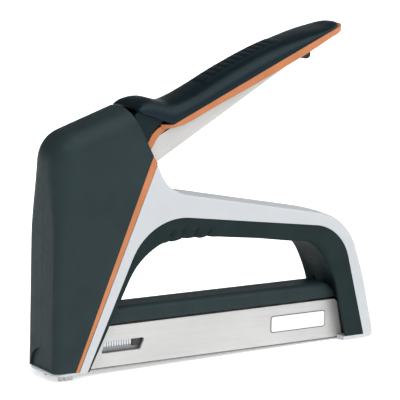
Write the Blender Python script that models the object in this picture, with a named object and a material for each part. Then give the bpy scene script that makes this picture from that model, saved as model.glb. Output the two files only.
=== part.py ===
"""A heavy-duty hand staple gun, as separate pieces, in metres with +Z up.

Every outline is written in millimetres in the tool's own side plane: x runs to the rear from the front
face of the nose, z runs up from the base of the magazine, and y is the distance from the middle plane.
The finished model is moved so that its origin is in the middle of its footprint, level with the tips of
the nose guide. The left half is at -Y and the right half at +Y.
"""

import math

import bmesh
import bpy
from mathutils import Matrix, Vector

MM = 0.001

# Overall size
LENGTH = 171.0
HALF_WIDTH = 12.9
GUIDE_DROP = 3.0
ORIGIN = Vector((LENGTH / 2, 0.0, -GUIDE_DROP))

# Fits and walls
GAP = 0.3
HALF_GAP = GAP / 2
SHELL_INNER = 10.4
WALL = 2.4
ARC_STEP = math.radians(11.0)
FINE_STEP = math.radians(30.0)
THROUGH = 30.0

# Nose: the front leans back a little and the top rises to the rear
NOSE_BOTTOM = 1.8
NOSE_CORNER = (1.0, 103.1)
NOSE_TOP_REAR = (37.07, 115.47)
NOSE_REAR = (48.4, 94.1)
NOSE_FOOT = (10.4, NOSE_BOTTOM)
NOSE_ROUND = 13.0
NOSE_EDGE_ROUND = 5.5
HOLLOW_ROUND = 2.0
FRAME_TOP = 70.0

# Accent strip between the nose cover and the body
STRIP_FOOT_WIDTH = 1.75
STRIP_HEAD = (50.6, 91.0)

# Body: nose, arm over the finger loop, and heel
BODY_BOTTOM = 0.85
HEEL_BOTTOM = -0.3
HEEL_PLATE_TOP = 1.9
ARM_FRONT = (57.2, 77.8)
ARM_REAR = (155.5, 59.0)
HEEL_UPPER = (165.6, 29.0)
HEEL_LOWER = (LENGTH, 6.0)
SLOT_REAR = 61.5
SLOT_FLOOR = 75.5

# Finger loop: the lining's outer and inner corners, each with its round
LOOP_OUTER = ((16.2, BODY_BOTTOM), (47.0, 68.0, 28.0), (151.0, 54.3, 22.0), (164.9, HEEL_PLATE_TOP))
LOOP_INNER = ((17.5, 1.5), (47.5, 60.0, 34.0), (138.8, 47.6, 15.0), (146.8, 28.0, 60.0), (153.4, 2.3))
HEEL_RECESS = ((140.0, -2.0), (157.8, -2.0), (156.9, 2.3), (153.1, 20.0), (150.6, 28.0), (148.5, 33.0), (140.0, 33.0))
RAIL_TOP = 27.3
RIDGE_COUNT = 4
RIDGE_START = 60.5
RIDGE_PITCH = 6.6

# Magazine, its track and what runs in it
MAG_HALF = 7.0
MAG_TOP = 19.0
MAG_FRONT = 13.3
SHEET = 1.2
TUNNEL_HALF = MAG_HALF + GAP
TUNNEL_TOP = MAG_TOP + 0.35
TRACK_HALF = 4.6
TRACK_TOP = 16.8
TRACK_FRONT = 12.6
TRACK_REAR = 158.2
ROD_Z = 9.0
ROD_RADIUS = 1.2
STAPLE_PITCH = 1.27
STAPLE_COUNT = 25
STAPLE_FRONT = 11.0
CROWN_HALF = 5.3
WIRE_THICK = 0.5
LEG_BOTTOM = 9.3
CROWN_TOP = 17.6
STRIP_REAR = STAPLE_FRONT + STAPLE_COUNT * STAPLE_PITCH

# Handle
PIVOT = (34.0, 90.0)
PIN_RADIUS = 3.0
LIFT_POINT = (12.0, 79.0)
LIFT_RADIUS = 2.5
FLANGE_OUTER = 9.2
FLANGE_INNER = 7.8
SKIRT_OUTER = 10.2
SKIRT_INNER = 9.5
GRIP_HALF = 12.5
GRIP_TIP = 152.5
ACCENT_TIP = 154.5
TIP_START = 134.0

# Striker and power spring
SPRING_X = 12.4
SPRING_RADIUS = 5.2
SPRING_WIRE = 1.0
STRIKER_BOTTOM = 36.0
STRIKER_TOP = 49.7
LEDGE_THICK = 1.4
SPRING_TOP = 92.0
BLADE_X = (9.3, 10.5)
BLADE_BOTTOM = 2.6

SCREWS = {
    "screw_cover_upper": (25.5, 66.0, 2.8),
    "screw_cover_lower": (15.0, 25.3, 2.4),
    "screw_arm_front": (53.0, 70.4, 2.8),
    "screw_arm_rear": (136.0, 59.2, 2.4),
    "screw_heel": (162.6, 24.0, 2.8),
}
SCREW_SHANK = 1.5
SCREW_HEAD_Y = (11.2, 12.6)

PAINTS = {
    "black_moulding": ((0.030, 0.038, 0.042), 0.55, 0.0),
    "grip_black": ((0.012, 0.017, 0.022), 0.42, 0.0),
    "liner_rubber": ((0.032, 0.038, 0.042), 0.75, 0.0),
    "orange": ((0.65, 0.20, 0.065), 0.5, 0.0),
    "grey_body": ((0.66, 0.70, 0.75), 0.45, 0.2),
    "steel": ((0.66, 0.65, 0.62), 0.35, 1.0),
    "dark_steel": ((0.18, 0.18, 0.19), 0.4, 1.0),
    "staple_steel": ((0.62, 0.66, 0.68), 0.3, 1.0),
    "label_white": ((0.85, 0.86, 0.86), 0.4, 0.0),
}


# ---------------------------------------------------------------- helpers


def clear_scene():
    for obj in list(bpy.data.objects):
        bpy.data.objects.remove(obj, do_unlink=True)


def paint(name):
    """The material of this name, made on first use."""
    found = bpy.data.materials.get(name)
    if found:
        return found
    colour, roughness, metallic = PAINTS[name]
    material = bpy.data.materials.new(name)
    material.use_nodes = True
    shader = material.node_tree.nodes["Principled BSDF"]
    shader.inputs["Base Color"].default_value = (*colour, 1.0)
    shader.inputs["Roughness"].default_value = roughness
    shader.inputs["Metallic"].default_value = metallic
    return material


def place(x, y, z):
    """A point of the tool's own frame, as world metres."""
    return (Vector((x, y, z)) - ORIGIN) * MM


def axis_empty(name, x, z):
    """An empty on a joint's axis, which carries the pieces of one moving body."""
    empty = bpy.data.objects.new(name, None)
    empty.location = place(x, 0.0, z)
    bpy.context.collection.objects.link(empty)
    return empty


def make(name, bm, material, carrier=None):
    """One object from a bmesh in world metres, with its origin on its carrier."""
    bmesh.ops.recalc_face_normals(bm, faces=bm.faces)
    mesh = bpy.data.meshes.new(name)
    if carrier:
        bmesh.ops.translate(bm, verts=bm.verts, vec=-carrier.location)
    bm.to_mesh(mesh)
    bm.free()
    mesh.shade_smooth()
    mesh.set_sharp_from_angle(angle=math.radians(32.0))
    if material:
        mesh.materials.append(paint(material))
    obj = bpy.data.objects.new(name, mesh)
    obj.parent = carrier
    bpy.context.collection.objects.link(obj)
    return obj


def boolean(obj, bm, operation="DIFFERENCE"):
    """Adds a Boolean whose other body is a hidden helper made from the bmesh."""
    helper = make(f"{obj.name}_helper_{len(obj.modifiers)}", bm, None)
    helper.hide_render = True
    helper.display_type = "WIRE"
    modifier = obj.modifiers.new(f"{operation.lower()}_{len(obj.modifiers)}", "BOOLEAN")
    modifier.operation = operation
    modifier.object = helper


def cut(obj, *bodies):
    for bm in bodies:
        boolean(obj, bm)


def join(obj, *bodies):
    for bm in bodies:
        boolean(obj, bm, "UNION")


def corner_round(before, corner, after, radius, step):
    """The points of a round at one corner of an outline."""
    back = (before - corner).normalized()
    ahead = (after - corner).normalized()
    half = back.angle(ahead) / 2
    centre = corner + (back + ahead).normalized() * (radius / math.sin(half))
    first = corner + back * (radius / math.tan(half)) - centre
    turn = math.pi - 2 * half
    if back.x * ahead.y - back.y * ahead.x > 0:
        turn = -turn
    count = max(1, math.ceil(abs(turn) / step))
    return [centre + Matrix.Rotation(turn * i / count, 2) @ first for i in range(count + 1)]


def outline(corners, step=ARC_STEP):
    """A closed outline through (a, b) corners, or (a, b, radius) ones, which become rounds."""
    points = []
    flat = [Vector(corner[:2]) for corner in corners]
    for index, corner in enumerate(corners):
        if len(corner) == 2:
            points.append(flat[index])
            continue
        before = flat[index - 1]
        after = flat[(index + 1) % len(flat)]
        points += corner_round(before, flat[index], after, corner[2], step)
    return points


def prism(points, low, high, axis="y"):
    """An outline extruded along one axis. It is in xz for y, in xy for z and in yz for x."""
    spots = {
        "y": lambda point, depth: place(point[0], depth, point[1]),
        "z": lambda point, depth: place(point[0], point[1], depth),
        "x": lambda point, depth: place(depth, point[0], point[1]),
    }[axis]
    bm = bmesh.new()
    near = [bm.verts.new(spots(point, low)) for point in points]
    far = [bm.verts.new(spots(point, high)) for point in points]
    bm.faces.new(near)
    bm.faces.new(list(reversed(far)))
    for i in range(len(points)):
        j = (i + 1) % len(points)
        bm.faces.new((near[i], far[i], far[j], near[j]))
    return bm


def block(xs, ys, zs):
    return prism([(xs[0], zs[0]), (xs[1], zs[0]), (xs[1], zs[1]), (xs[0], zs[1])], *ys)


def circle(a, b, radius, count=20):
    turns = [math.tau * i / count for i in range(count)]
    return [(a + radius * math.cos(turn), b + radius * math.sin(turn)) for turn in turns]


def cylinder(a, b, radius, low, high, axis="y", count=20):
    return prism(circle(a, b, radius, count), low, high, axis)


def sided(side, low, high):
    """Two distances from the middle plane, as y values in rising order on that side."""
    return sorted((side * low, side * high))


def soften(bm, width, chosen, segments=3):
    """Rounds the edges whose two ends both pass the test, which reads the tool's own frame."""
    picked = []
    for edge in bm.edges:
        ends = [vert.co / MM + ORIGIN for vert in edge.verts]
        if all(chosen(end) for end in ends) and edge.calc_face_angle(0.0) > math.radians(40.0):
            picked.append(edge)
    bmesh.ops.bevel(
        bm,
        geom=picked,
        offset=width * MM,
        segments=segments,
        profile=0.5,
        affect="EDGES",
        clamp_overlap=True,
    )
    return bm


def at_side(end, distance):
    return abs(abs(end.y) - distance) < 0.01


def ring_loft(rings):
    """A closed body through rings of points, capped at both ends."""
    bm = bmesh.new()
    rows = [[bm.verts.new(place(*point)) for point in ring] for ring in rings]
    for row, following in zip(rows, rows[1:]):
        for i in range(len(row)):
            j = (i + 1) % len(row)
            bm.faces.new((row[i], row[j], following[j], following[i]))
    bm.faces.new(rows[0])
    bm.faces.new(list(reversed(rows[-1])))
    return bm


def coil(start, direction, radius, wire, length, turns, per_turn=12, wire_sides=6):
    """A helical wire from a start point along a unit direction of the tool's frame."""
    axis = Vector(direction)
    side = axis.orthogonal().normalized()
    third = axis.cross(side)
    rise = (length - 2 * wire) / turns
    rings = []
    for i in range(turns * per_turn + 1):
        turn = math.tau * i / per_turn
        outward = side * math.cos(turn) + third * math.sin(turn)
        centre = Vector(start) + outward * radius + axis * (wire + rise * i / per_turn)
        ring = []
        for k in range(wire_sides):
            spin = math.tau * k / wire_sides
            ring.append(centre + (outward * math.cos(spin) + axis * math.sin(spin)) * wire)
        rings.append(ring)
    return ring_loft(rings)


def on_line(first, second, x):
    """The height at x of the line through two points."""
    return first[1] + (second[1] - first[1]) * (x - first[0]) / (second[0] - first[0])


def through(points, x):
    """The height at x of a chain of straight lines."""
    for first, second in zip(points, points[1:]):
        if x <= second[0]:
            return on_line(first, second, x)
    return points[-1][1]


# ---------------------------------------------------------------- nose and body


def nose_outline():
    corners = [
        (0.0, NOSE_BOTTOM),
        (*NOSE_CORNER, NOSE_ROUND),
        NOSE_TOP_REAR,
        NOSE_REAR,
        NOSE_FOOT,
    ]
    return outline(corners)


def nose_hollow(side):
    """The space inside the nose cover, open below and to the rear."""
    shift = WALL * 1.05
    slope = (NOSE_TOP_REAR[1] - NOSE_CORNER[1]) / (NOSE_TOP_REAR[0] - NOSE_CORNER[0])
    corner = (NOSE_CORNER[0] + WALL, NOSE_CORNER[1] - shift + slope * WALL)
    rear = 60.0
    rear_top = corner[1] + slope * (rear - corner[0])
    corners = [(WALL, -5.0), (*corner, NOSE_ROUND - WALL), (rear, rear_top), (rear, -5.0)]
    bm = prism(outline(corners), *sided(side, -1.0, SHELL_INNER))
    return soften(bm, HOLLOW_ROUND, lambda end: at_side(end, SHELL_INNER) and end.x < 50, 2)


def front_arch():
    """A shallow arched recess low on the front of the nose."""
    half, height, deep = 9.6, 9.4, 1.3
    points = [(-half, -2.0), (half, -2.0), (half, NOSE_BOTTOM)]
    for i in range(1, 12):
        turn = math.pi * i / 12
        points.append((half * math.cos(turn), NOSE_BOTTOM + height * math.sin(turn)))
    points.append((-half, NOSE_BOTTOM))
    return prism(points, -5.0, deep, "x")


def nose_cover(side, name):
    bm = prism(nose_outline(), *sided(side, HALF_GAP, HALF_WIDTH))

    def front_or_top(end):
        on_rear = abs(end.x - on_line(NOSE_FOOT[::-1], NOSE_REAR[::-1], end.z)) < 0.2
        return at_side(end, HALF_WIDTH) and end.z > NOSE_BOTTOM - 1 and not (on_rear and end.z > 2)

    soften(bm, NOSE_EDGE_ROUND, front_or_top, 4)
    cover = make(name, bm, "black_moulding")
    cut(cover, nose_hollow(side), front_arch())
    cut(cover, cylinder(*PIVOT, PIN_RADIUS + GAP, *sided(side, 9.0, HALF_WIDTH - 1.0)))
    if side > 0:
        for screw in ("screw_cover_upper", "screw_cover_lower"):
            cut(cover, screw_head_space(screw), screw_hole(screw))


def accent_strip(side, name):
    foot_x = NOSE_FOOT[0]
    corners = [
        (foot_x + HALF_GAP, NOSE_BOTTOM - GAP),
        (NOSE_REAR[0] + HALF_GAP, NOSE_REAR[1] - GAP),
        (STRIP_HEAD[0] - HALF_GAP, STRIP_HEAD[1]),
        (foot_x + STRIP_FOOT_WIDTH, NOSE_BOTTOM - GAP),
    ]
    make(name, prism(outline(corners), *sided(side, SHELL_INNER + 0.1, HALF_WIDTH)), "orange")


def body_outline():
    corners = [
        (NOSE_FOOT[0] + STRIP_FOOT_WIDTH + GAP, BODY_BOTTOM),
        (STRIP_HEAD[0] + HALF_GAP, STRIP_HEAD[1] - GAP),
        (*ARM_FRONT, 18.0),
        (*ARM_REAR, 28.0),
        (*HEEL_UPPER, 60.0),
        (*HEEL_LOWER, 12.0),
        (LENGTH, HEEL_BOTTOM, 3.0),
        (LOOP_INNER[-1][0] + GAP, HEEL_BOTTOM),
        (LOOP_INNER[-1][0] + GAP, HEEL_PLATE_TOP),
        *reversed(LOOP_OUTER),
    ]
    return outline(corners)


def nose_frame(side):
    """The part of the body that carries the works, under the nose cover."""
    corners = [
        (3.0, BODY_BOTTOM),
        (4.4, FRAME_TOP, 3.0),
        (44.8, FRAME_TOP + 2.0),
        (14.3, BODY_BOTTOM),
    ]
    return prism(outline(corners), *sided(side, HALF_GAP, SHELL_INNER - 0.2))


def nose_base(side):
    """The thin rim that shows below the nose cover."""
    edge = HALF_WIDTH - 0.4
    corners = [(0.4, side * HALF_GAP), (0.4, side * edge, 5.0), (16.0, side * edge), (16.0, side * HALF_GAP)]
    return prism(outline(corners), 0.6, NOSE_BOTTOM - GAP, "z")


def body_spaces():
    """What is cut out of both body shells, each as one bmesh."""
    well = [(5.6, 31.2), (6.0, 80.0), (22.0, 80.0), (20.6, 31.2)]
    slot = [(30.0, 76.4), (44.0, SLOT_FLOOR), (SLOT_REAR, SLOT_FLOOR), (SLOT_REAR, 110.0), (30.0, 110.0)]
    arm = [(66.0, 67.6), (66.0, 73.6), (126.0, 61.8), (126.0, 59.6)]
    passage = [(5.2, -2.0), (5.2, 31.6), (11.4, 31.6), (11.4, -2.0)]
    tunnel = [(5.2, -2.0), (5.2, TUNNEL_TOP), (LENGTH + 5, TUNNEL_TOP), (LENGTH + 5, -2.0)]
    yield prism(well, -8.3, 8.3)
    yield prism(slot, -SHELL_INNER - 0.1, SHELL_INNER + 0.1)
    yield prism(arm, -SHELL_INNER, SHELL_INNER)
    yield prism(passage, -TUNNEL_HALF + 0.05, TUNNEL_HALF - 0.05)
    yield prism(tunnel, -TUNNEL_HALF, TUNNEL_HALF)


def body_shell(side, name):
    bm = prism(body_outline(), *sided(side, HALF_GAP, HALF_WIDTH))

    def outer_edge(end):
        top = on_line(ARM_FRONT, ARM_REAR, end.x)
        above = end.z > top - 1.0 and end.x < 140
        behind = end.x > 138 and end.z > through(((138, 58.0), (150, 53.5), (158, 40), (172, -1)), end.x)
        return at_side(end, HALF_WIDTH) and (above or behind)

    soften(bm, 1.6, outer_edge, 2)
    shell = make(name, bm, "grey_body")
    join(shell, nose_frame(side), nose_base(side))
    cut(shell, *body_spaces())
    for screw in SCREWS:
        cut(shell, screw_hole(screw))
        if side > 0:
            cut(shell, screw_head_space(screw))


def screw_hole(name):
    x, z, _ = SCREWS[name]
    return cylinder(x, z, SCREW_SHANK + GAP, -10.9, 14.0, count=12)


def screw_head_space(name):
    x, z, radius = SCREWS[name]
    return cylinder(x, z, radius + GAP, SCREW_HEAD_Y[0] - GAP, 14.0, count=16)


def screw(name):
    x, z, radius = SCREWS[name]
    obj = make(name, cylinder(x, z, radius, *SCREW_HEAD_Y, count=16), "dark_steel")
    join(obj, cylinder(x, z, SCREW_SHANK, -10.1, SCREW_HEAD_Y[0] + 0.5, count=12))
    cut(obj, cylinder(x, z, radius * 0.48, SCREW_HEAD_Y[1] - 0.9, 14.0, count=6))


def loop_liner():
    """The soft lining of the finger loop, in one piece from the nose's foot round to the heel."""
    outer = [
        (LOOP_OUTER[0][0] + GAP, 1.5),
        (47.25, 67.7, 27.7),
        (150.75, 54.0, 21.7),
        (LOOP_OUTER[3][0] - GAP, HEEL_PLATE_TOP + GAP),
    ]
    bm = prism(outline([*outer, *reversed(LOOP_INNER)]), -HALF_WIDTH, HALF_WIDTH)

    def inner_edge(end):
        limit = through(((17.0, -1), (24.0, 14), (45.0, 56.0), (60.0, 60.5), (136.0, 51.5), (146.0, 40), (156, 3)), end.x)
        return at_side(end, HALF_WIDTH) and end.z < limit and 30 < end.x < 150

    soften(bm, 1.8, inner_edge, 2)
    liner = make("loop_liner", bm, "liner_rubber")
    cut(liner, block((0, 200), (-TUNNEL_HALF, TUNNEL_HALF), (-5, TUNNEL_TOP)))
    cut(liner, block((0, 60), (-8.7, 8.7), (19.0, RAIL_TOP + 0.4)))
    cut(liner, prism(HEEL_RECESS, -9.0, 9.0))
    for index in range(RIDGE_COUNT):
        cut(liner, *ridge_cuts(RIDGE_START + index * RIDGE_PITCH))


def ridge_cuts(x):
    """A pair of slanted finger grooves, one on each lower edge of the arm's lining."""
    z = through(((57.0, 55.6), (61.0, 56.3), (70.0, 56.8), (80.0, 55.6)), x) - 1.0
    groove = [(x - 1.2, z), (x + 0.4, z), (x + 4.0, z + 4.6), (x + 2.4, z + 4.6)]
    for side in (-1, 1):
        yield prism(groove, *sided(side, HALF_WIDTH - 1.2, HALF_WIDTH + 1.0))


# ---------------------------------------------------------------- magazine


def rail_cap():
    """The black cap along the top of the magazine, inside the loop."""
    corners = [(25.9, 20.3), (29.6, RAIL_TOP), (149.9, RAIL_TOP, 6.0), (151.9, 20.3)]
    bm = prism(outline(corners), -8.3, 8.3)
    soften(bm, 4.0, lambda end: at_side(end, 8.3) and end.z > 21.0, 3)
    make("rail_cap", bm, "black_moulding")


def magazine_channel():
    side_view = [(MAG_FRONT, 0.8), (MAG_FRONT, MAG_TOP), (152.9, MAG_TOP, 2.5), (156.6, 0.8)]
    bm = prism(outline(side_view), -MAG_HALF, MAG_HALF)
    soften(bm, 0.9, lambda end: at_side(end, MAG_HALF) and end.z > MAG_TOP - 0.1, 2)
    channel = make("magazine_channel", bm, "steel")
    cut(channel, block((0, 200), (SHEET - MAG_HALF, MAG_HALF - SHEET), (-5, MAG_TOP - SHEET)))
    window = [(26.3, 7.0, 0.8), (28.5, 12.2, 0.8), (48.6, 12.2, 0.8), (46.3, 7.0, 0.8)]
    cut(channel, prism(outline(window, FINE_STEP), -THROUGH, THROUGH))


def nose_guide():
    """The steel guide that the driver blade slides in. Its two prongs stand below the base."""
    prong_half = (5.7, MAG_HALF)
    guide = make("nose_guide", block((7.2, 8.9), (-MAG_HALF, MAG_HALF), (0.4, 30.8)), "steel")
    for side in (-1, 1):
        join(guide, block((5.6, 12.3), sided(side, *prong_half), (-GUIDE_DROP, 12.0)))
        cut(guide, block((7.3, 8.1), sided(side, 5.0, 8.0), (-5.0, -1.4)))


def label(side, name):
    corners = [(116.0, 6.5, 1.2), (116.0, 14.3, 1.2), (146.5, 14.3, 1.2), (146.5, 6.5, 1.2)]
    bm = prism(outline(corners, FINE_STEP), *sided(side, MAG_HALF + 0.1, MAG_HALF + 0.25))
    make(name, bm, "label_white")


def hat_section(front, rear):
    """The inner track: a hollow rail on a flat base."""
    base, inner, top = MAG_HALF - 0.1, TRACK_HALF - 1.0, TRACK_TOP
    half = [(base, 0.0), (base, 0.5), (TRACK_HALF, 0.5), (TRACK_HALF, top)]
    hollow = [(-inner, 0.0), (-inner, top - 1.0), (inner, top - 1.0), (inner, 0.0)]
    mirrored = [(-y, z) for y, z in reversed(half)]
    return prism([*half, *mirrored, *hollow], front, rear, "x")


def loading_track(carrier):
    track = make("loading_track", hat_section(TRACK_FRONT, TRACK_REAR), "steel", carrier)
    cut(track, block((47.0, 156.0), (-1.4, 1.4), (10.0, 20.0)))


def track_latch(carrier):
    """The finger tab that closes the rear of the heel and pulls the track out."""
    corners = [(158.5, 0.3), (158.5, 18.7, 1.0), (167.3, 18.7, 1.5), (169.9, 4.0, 3.0), (169.9, 0.3)]
    latch = make("track_latch", prism(outline(corners), -6.9, 6.9), "black_moulding", carrier)
    cut(latch, cylinder(174.5, 10.0, 6.8, -4.8, 4.8, count=24))
    cut(latch, cylinder(0.0, ROD_Z, ROD_RADIUS + GAP, 150.0, 162.5, "x", 12))


def rod_bracket(carrier):
    bracket = make("rod_bracket", block((43.2, 46.2), (-3.3, 3.3), (1.0, 15.4)), "dark_steel", carrier)
    cut(bracket, cylinder(0.0, ROD_Z, ROD_RADIUS + GAP, 40.0, 50.0, "x", 12))


def pusher_rod(carrier):
    make("pusher_rod", cylinder(0.0, ROD_Z, ROD_RADIUS, 43.6, 162.2, "x", 12), "steel", carrier)


def staple_strip():
    """A stick of staples glued side by side, with a fine groove between each two."""
    inner = CROWN_HALF - WIRE_THICK
    section = [
        (-CROWN_HALF, LEG_BOTTOM),
        (-CROWN_HALF, CROWN_TOP),
        (CROWN_HALF, CROWN_TOP),
        (CROWN_HALF, LEG_BOTTOM),
        (inner, LEG_BOTTOM),
        (inner, CROWN_TOP - WIRE_THICK),
        (-inner, CROWN_TOP - WIRE_THICK),
        (-inner, LEG_BOTTOM),
    ]
    make("staple_strip", prism(section, STAPLE_FRONT, STRIP_REAR, "x"), "staple_steel")


def staple_pusher(carrier):
    front = STRIP_REAR + GAP
    shoe = make("staple_pusher", block((front, front + 11.0), (-5.4, 5.4), (8.6, 17.5)), "dark_steel", carrier)
    cut(shoe, block((30.0, 70.0), (-4.9, 4.9), (0.0, 17.1)))
    join(shoe, block((front + 4.4, front + 10.6), (-1.0, 1.0), (11.0, 17.3)))
    join(shoe, block((front + 4.4, front + 10.6), (-3.0, 3.0), (6.0, 12.0)))
    cut(shoe, cylinder(0.0, ROD_Z, ROD_RADIUS + GAP, 30.0, 70.0, "x", 12))


def pusher_spring(carrier):
    start = STRIP_REAR + 11.5
    bm = coil((start, 0, ROD_Z), (1, 0, 0), 2.2, 0.3, TRACK_REAR - start, 20, 8, 4)
    make("pusher_spring", bm, "steel", carrier)


# ---------------------------------------------------------------- striker


def striker(carrier):
    """The hammer block with two side posts. Their ledges sit on the lever's lifting tips."""
    half = 7.4
    top = LIFT_POINT[1] + LIFT_RADIUS + GAP
    xs = (7.0, 18.0)
    hammer = make("striker", block(xs, (-half, half), (STRIKER_BOTTOM, STRIKER_TOP)), "dark_steel", carrier)
    for side in (-1, 1):
        join(hammer, block((8.5, 12.8), sided(side, 6.5, half), (STRIKER_TOP - 5, top + LEDGE_THICK)))
        join(hammer, block((8.5, 12.8), sided(side, 6.6, FLANGE_OUTER), (top, top + LEDGE_THICK)))
    cut(hammer, block((BLADE_X[0] - GAP, BLADE_X[1] + GAP), (-5.5, 5.5), (30.0, 47.3)))


def driver_blade(carrier):
    make("driver_blade", block(BLADE_X, (-5.2, 5.2), (BLADE_BOTTOM, 47.0)), "steel", carrier)


def striker_bumper():
    bm = block((11.8, 18.6), (-7.0, 7.0), (31.5, STRIKER_BOTTOM - GAP))
    make("striker_bumper", bm, "liner_rubber")


def power_spring():
    length = SPRING_TOP - STRIKER_TOP - 2 * GAP
    start = (SPRING_X, 0, STRIKER_TOP + GAP)
    make("power_spring", coil(start, (0, 0, 1), SPRING_RADIUS, SPRING_WIRE, length, 8), "steel")


def spring_cap():
    cap = make("spring_cap", cylinder(SPRING_X, 0, 6.3, SPRING_TOP, SPRING_TOP + 3, "z"), "dark_steel")
    join(cap, cylinder(SPRING_X, 0, 3.2, SPRING_TOP + 2, 98.6, "z"))


# ---------------------------------------------------------------- handle


def rim_height(x):
    """The line where the black grip meets the accent band."""
    return through(((41.0, 113.7), (58.75, 107.2), (135.0, 141.9), (142.0, 144.6), (150.0, 146.7), (156.0, 147.9)), x)


def band_height(x):
    """The lower edge of the accent band."""
    return through(((56.0, 105.2), (65.0, 107.1), (80.0, 113.6), (110.0, 126.5), (131.0, 136.2),
                    (142.0, 141.4), (150.0, 143.6), (156.0, 144.9)), x)


def crest_height(x):
    """The middle of the grip's top: a raised front lip, a dip, and a long palm swell."""
    return through(((41.0, 115.8), (44.0, 118.0), (48.5, 118.9), (53.0, 117.9), (59.0, 116.8), (65.0, 118.2),
                    (73.0, 121.5), (90.6, 130.1), (110.6, 138.4), (130.6, 144.6), (142.6, 147.6),
                    (150.0, 149.2), (156.0, 149.0)), x)


def plan_half(x, tip):
    """Half the handle's width at x, seen from above."""
    if x <= TIP_START:
        return GRIP_HALF
    reach = min(1.0, (x - TIP_START) / (tip - TIP_START))
    return max(0.6, GRIP_HALF * math.sqrt(1.0 - reach * reach))


def grip_stations(tip):
    xs = [41.2, 42.5, 45.0, 48.5, 53.0, 58.75, 62.0, 66.0, 73.0, 82.0, 90.6, 100.0, 110.6, 120.0, 130.6, 135.0]
    return xs + [tip - (tip - TIP_START) * (1 - math.sin(math.radians(turn))) for turn in (15, 30, 45, 60, 75, 90)]


def grip_ring(x, tip, sides=10):
    """One cross-section of the grip: a flat floor and a rounded back."""
    low, high, half = rim_height(x), crest_height(x), plan_half(x, tip)
    ring = []
    for i in range(sides + 1):
        turn = math.pi * i / sides
        swing = math.cos(turn)
        y = half * math.copysign(abs(swing) ** 0.75, swing)
        ring.append((x, y, low + 0.4 + (high - low - 0.4) * math.sin(turn) ** 0.8))
    ring.append((x, -half, low))
    ring.append((x, half, low))
    return ring


def skirt_outline():
    """The grip's front cheeks, which turn down into the nose."""
    corners = [
        (40.5, 111.6),
        (43.0, 114.2),
        (56.0, 110.0),
        (53.9, 107.3, 4.0),
        (49.6, 104.6, 12.0),
        (45.2, 96.4),
        (38.8, 99.5),
        (42.4, 103.2),
        (43.4, 105.8),
    ]
    return outline(corners)


def arc_outline():
    """The accent band's curved front end, on the side of the lever."""
    corners = [
        (58.0, 107.3),
        (54.6, 106.7, 4.0),
        (50.1, 104.1, 12.0),
        (45.7, 96.0),
        (47.9, 94.6),
        (52.8, 102.6, 12.0),
        (58.0, 105.7),
    ]
    return outline(corners)


def handle_grip(carrier):
    grip = make("handle_grip", ring_loft([grip_ring(x, GRIP_TIP) for x in grip_stations(GRIP_TIP)]),
                "grip_black", carrier)
    for side in (-1, 1):
        join(grip, prism(skirt_outline(), *sided(side, SKIRT_INNER, SKIRT_OUTER)))
    front = [(42.5, 103.4), (43.5, 105.8), (40.6, 111.6), (42.4, 112.4), (45.2, 105.8), (44.4, 103.4)]
    join(grip, prism(front, -SKIRT_OUTER + 0.1, SKIRT_OUTER - 0.1))


def accent_ring(x):
    low, high, half = band_height(x), rim_height(x) - GAP, plan_half(x, ACCENT_TIP)
    return [(x, -half, low), (x, -half, high), (x, half, high), (x, half, low)]


def handle_accent(carrier):
    xs = [57.0, 58.75, 62.0, 66.0, 80.0, 95.0, 110.0, 120.0, 131.0]
    xs += [x for x in grip_stations(ACCENT_TIP) if x > TIP_START + 0.9]
    band = make("handle_accent", ring_loft([accent_ring(x) for x in xs]), "orange", carrier)
    hollow = [(50.0, 90.0)]
    hollow += [(x, rim_height(x) - 1.7) for x in (50.0, 58.75, 135.0, 139.4)]
    hollow += [(139.4, 90.0)]
    cut(band, prism(hollow, -SKIRT_INNER, SKIRT_INNER))
    for side in (-1, 1):
        join(band, prism(arc_outline(), *sided(side, SKIRT_INNER + 0.05, SKIRT_OUTER)))


def lever_outline():
    """One flange of the lever: a hooked lifting tip, the pivot boss and the long tapering arm."""
    corners = [
        (9.5, 76.4, 2.3),
        (9.5, LIFT_POINT[1] + LIFT_RADIUS, 2.3),
        (13.6, LIFT_POINT[1] + LIFT_RADIUS, 1.6),
        (15.8, 78.4, 0.8),
        (27.5, 92.0, 6.0),
        (34.0, 98.0, 6.0),
        (46.0, 98.6, 10.0),
        (58.6, rim_height(58.75) - 2.2),
        (134.0, rim_height(134.0) - 2.2),
        (134.0, 138.0),
        (52.9, 91.2),
        (42.0, 83.8, 9.0),
        (30.0, 80.2, 9.0),
        (16.5, 73.8, 4.0),
    ]
    return outline(corners)


def lever_channel(carrier):
    """The steel lever: two flanges under a web, folded from one sheet."""
    left = prism(lever_outline(), -FLANGE_OUTER, -FLANGE_INNER)
    lever = make("lever_channel", left, "steel", carrier)
    join(lever, prism(lever_outline(), FLANGE_INNER, FLANGE_OUTER))
    top = [(50.0, 100.3), (58.5, rim_height(58.75) - 2.25), (133.9, rim_height(133.9) - 2.25)]
    web = [*top, *[(x, z - 1.5) for x, z in reversed(top)]]
    join(lever, prism(web, -FLANGE_INNER - 0.7, FLANGE_INNER + 0.7))
    cut(lever, cylinder(*PIVOT, PIN_RADIUS + GAP, -THROUGH, THROUGH))


def handle_bumper(carrier):
    """The rubber stop under the handle's end."""
    corners = [(132.6, 132.9, 1.3), (132.6, 136.8), (135.6, 138.2), (137.4, 138.5), (137.4, 132.5, 1.6), (135.0, 131.8, 1.3)]
    make("handle_bumper", prism(outline(corners, FINE_STEP), -3.4, 3.4), "liner_rubber", carrier)


def lever_pin():
    reach = HALF_WIDTH - 1.3
    make("lever_pin", cylinder(*PIVOT, PIN_RADIUS, -reach, reach), "steel")


# ---------------------------------------------------------------- assembly


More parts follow.
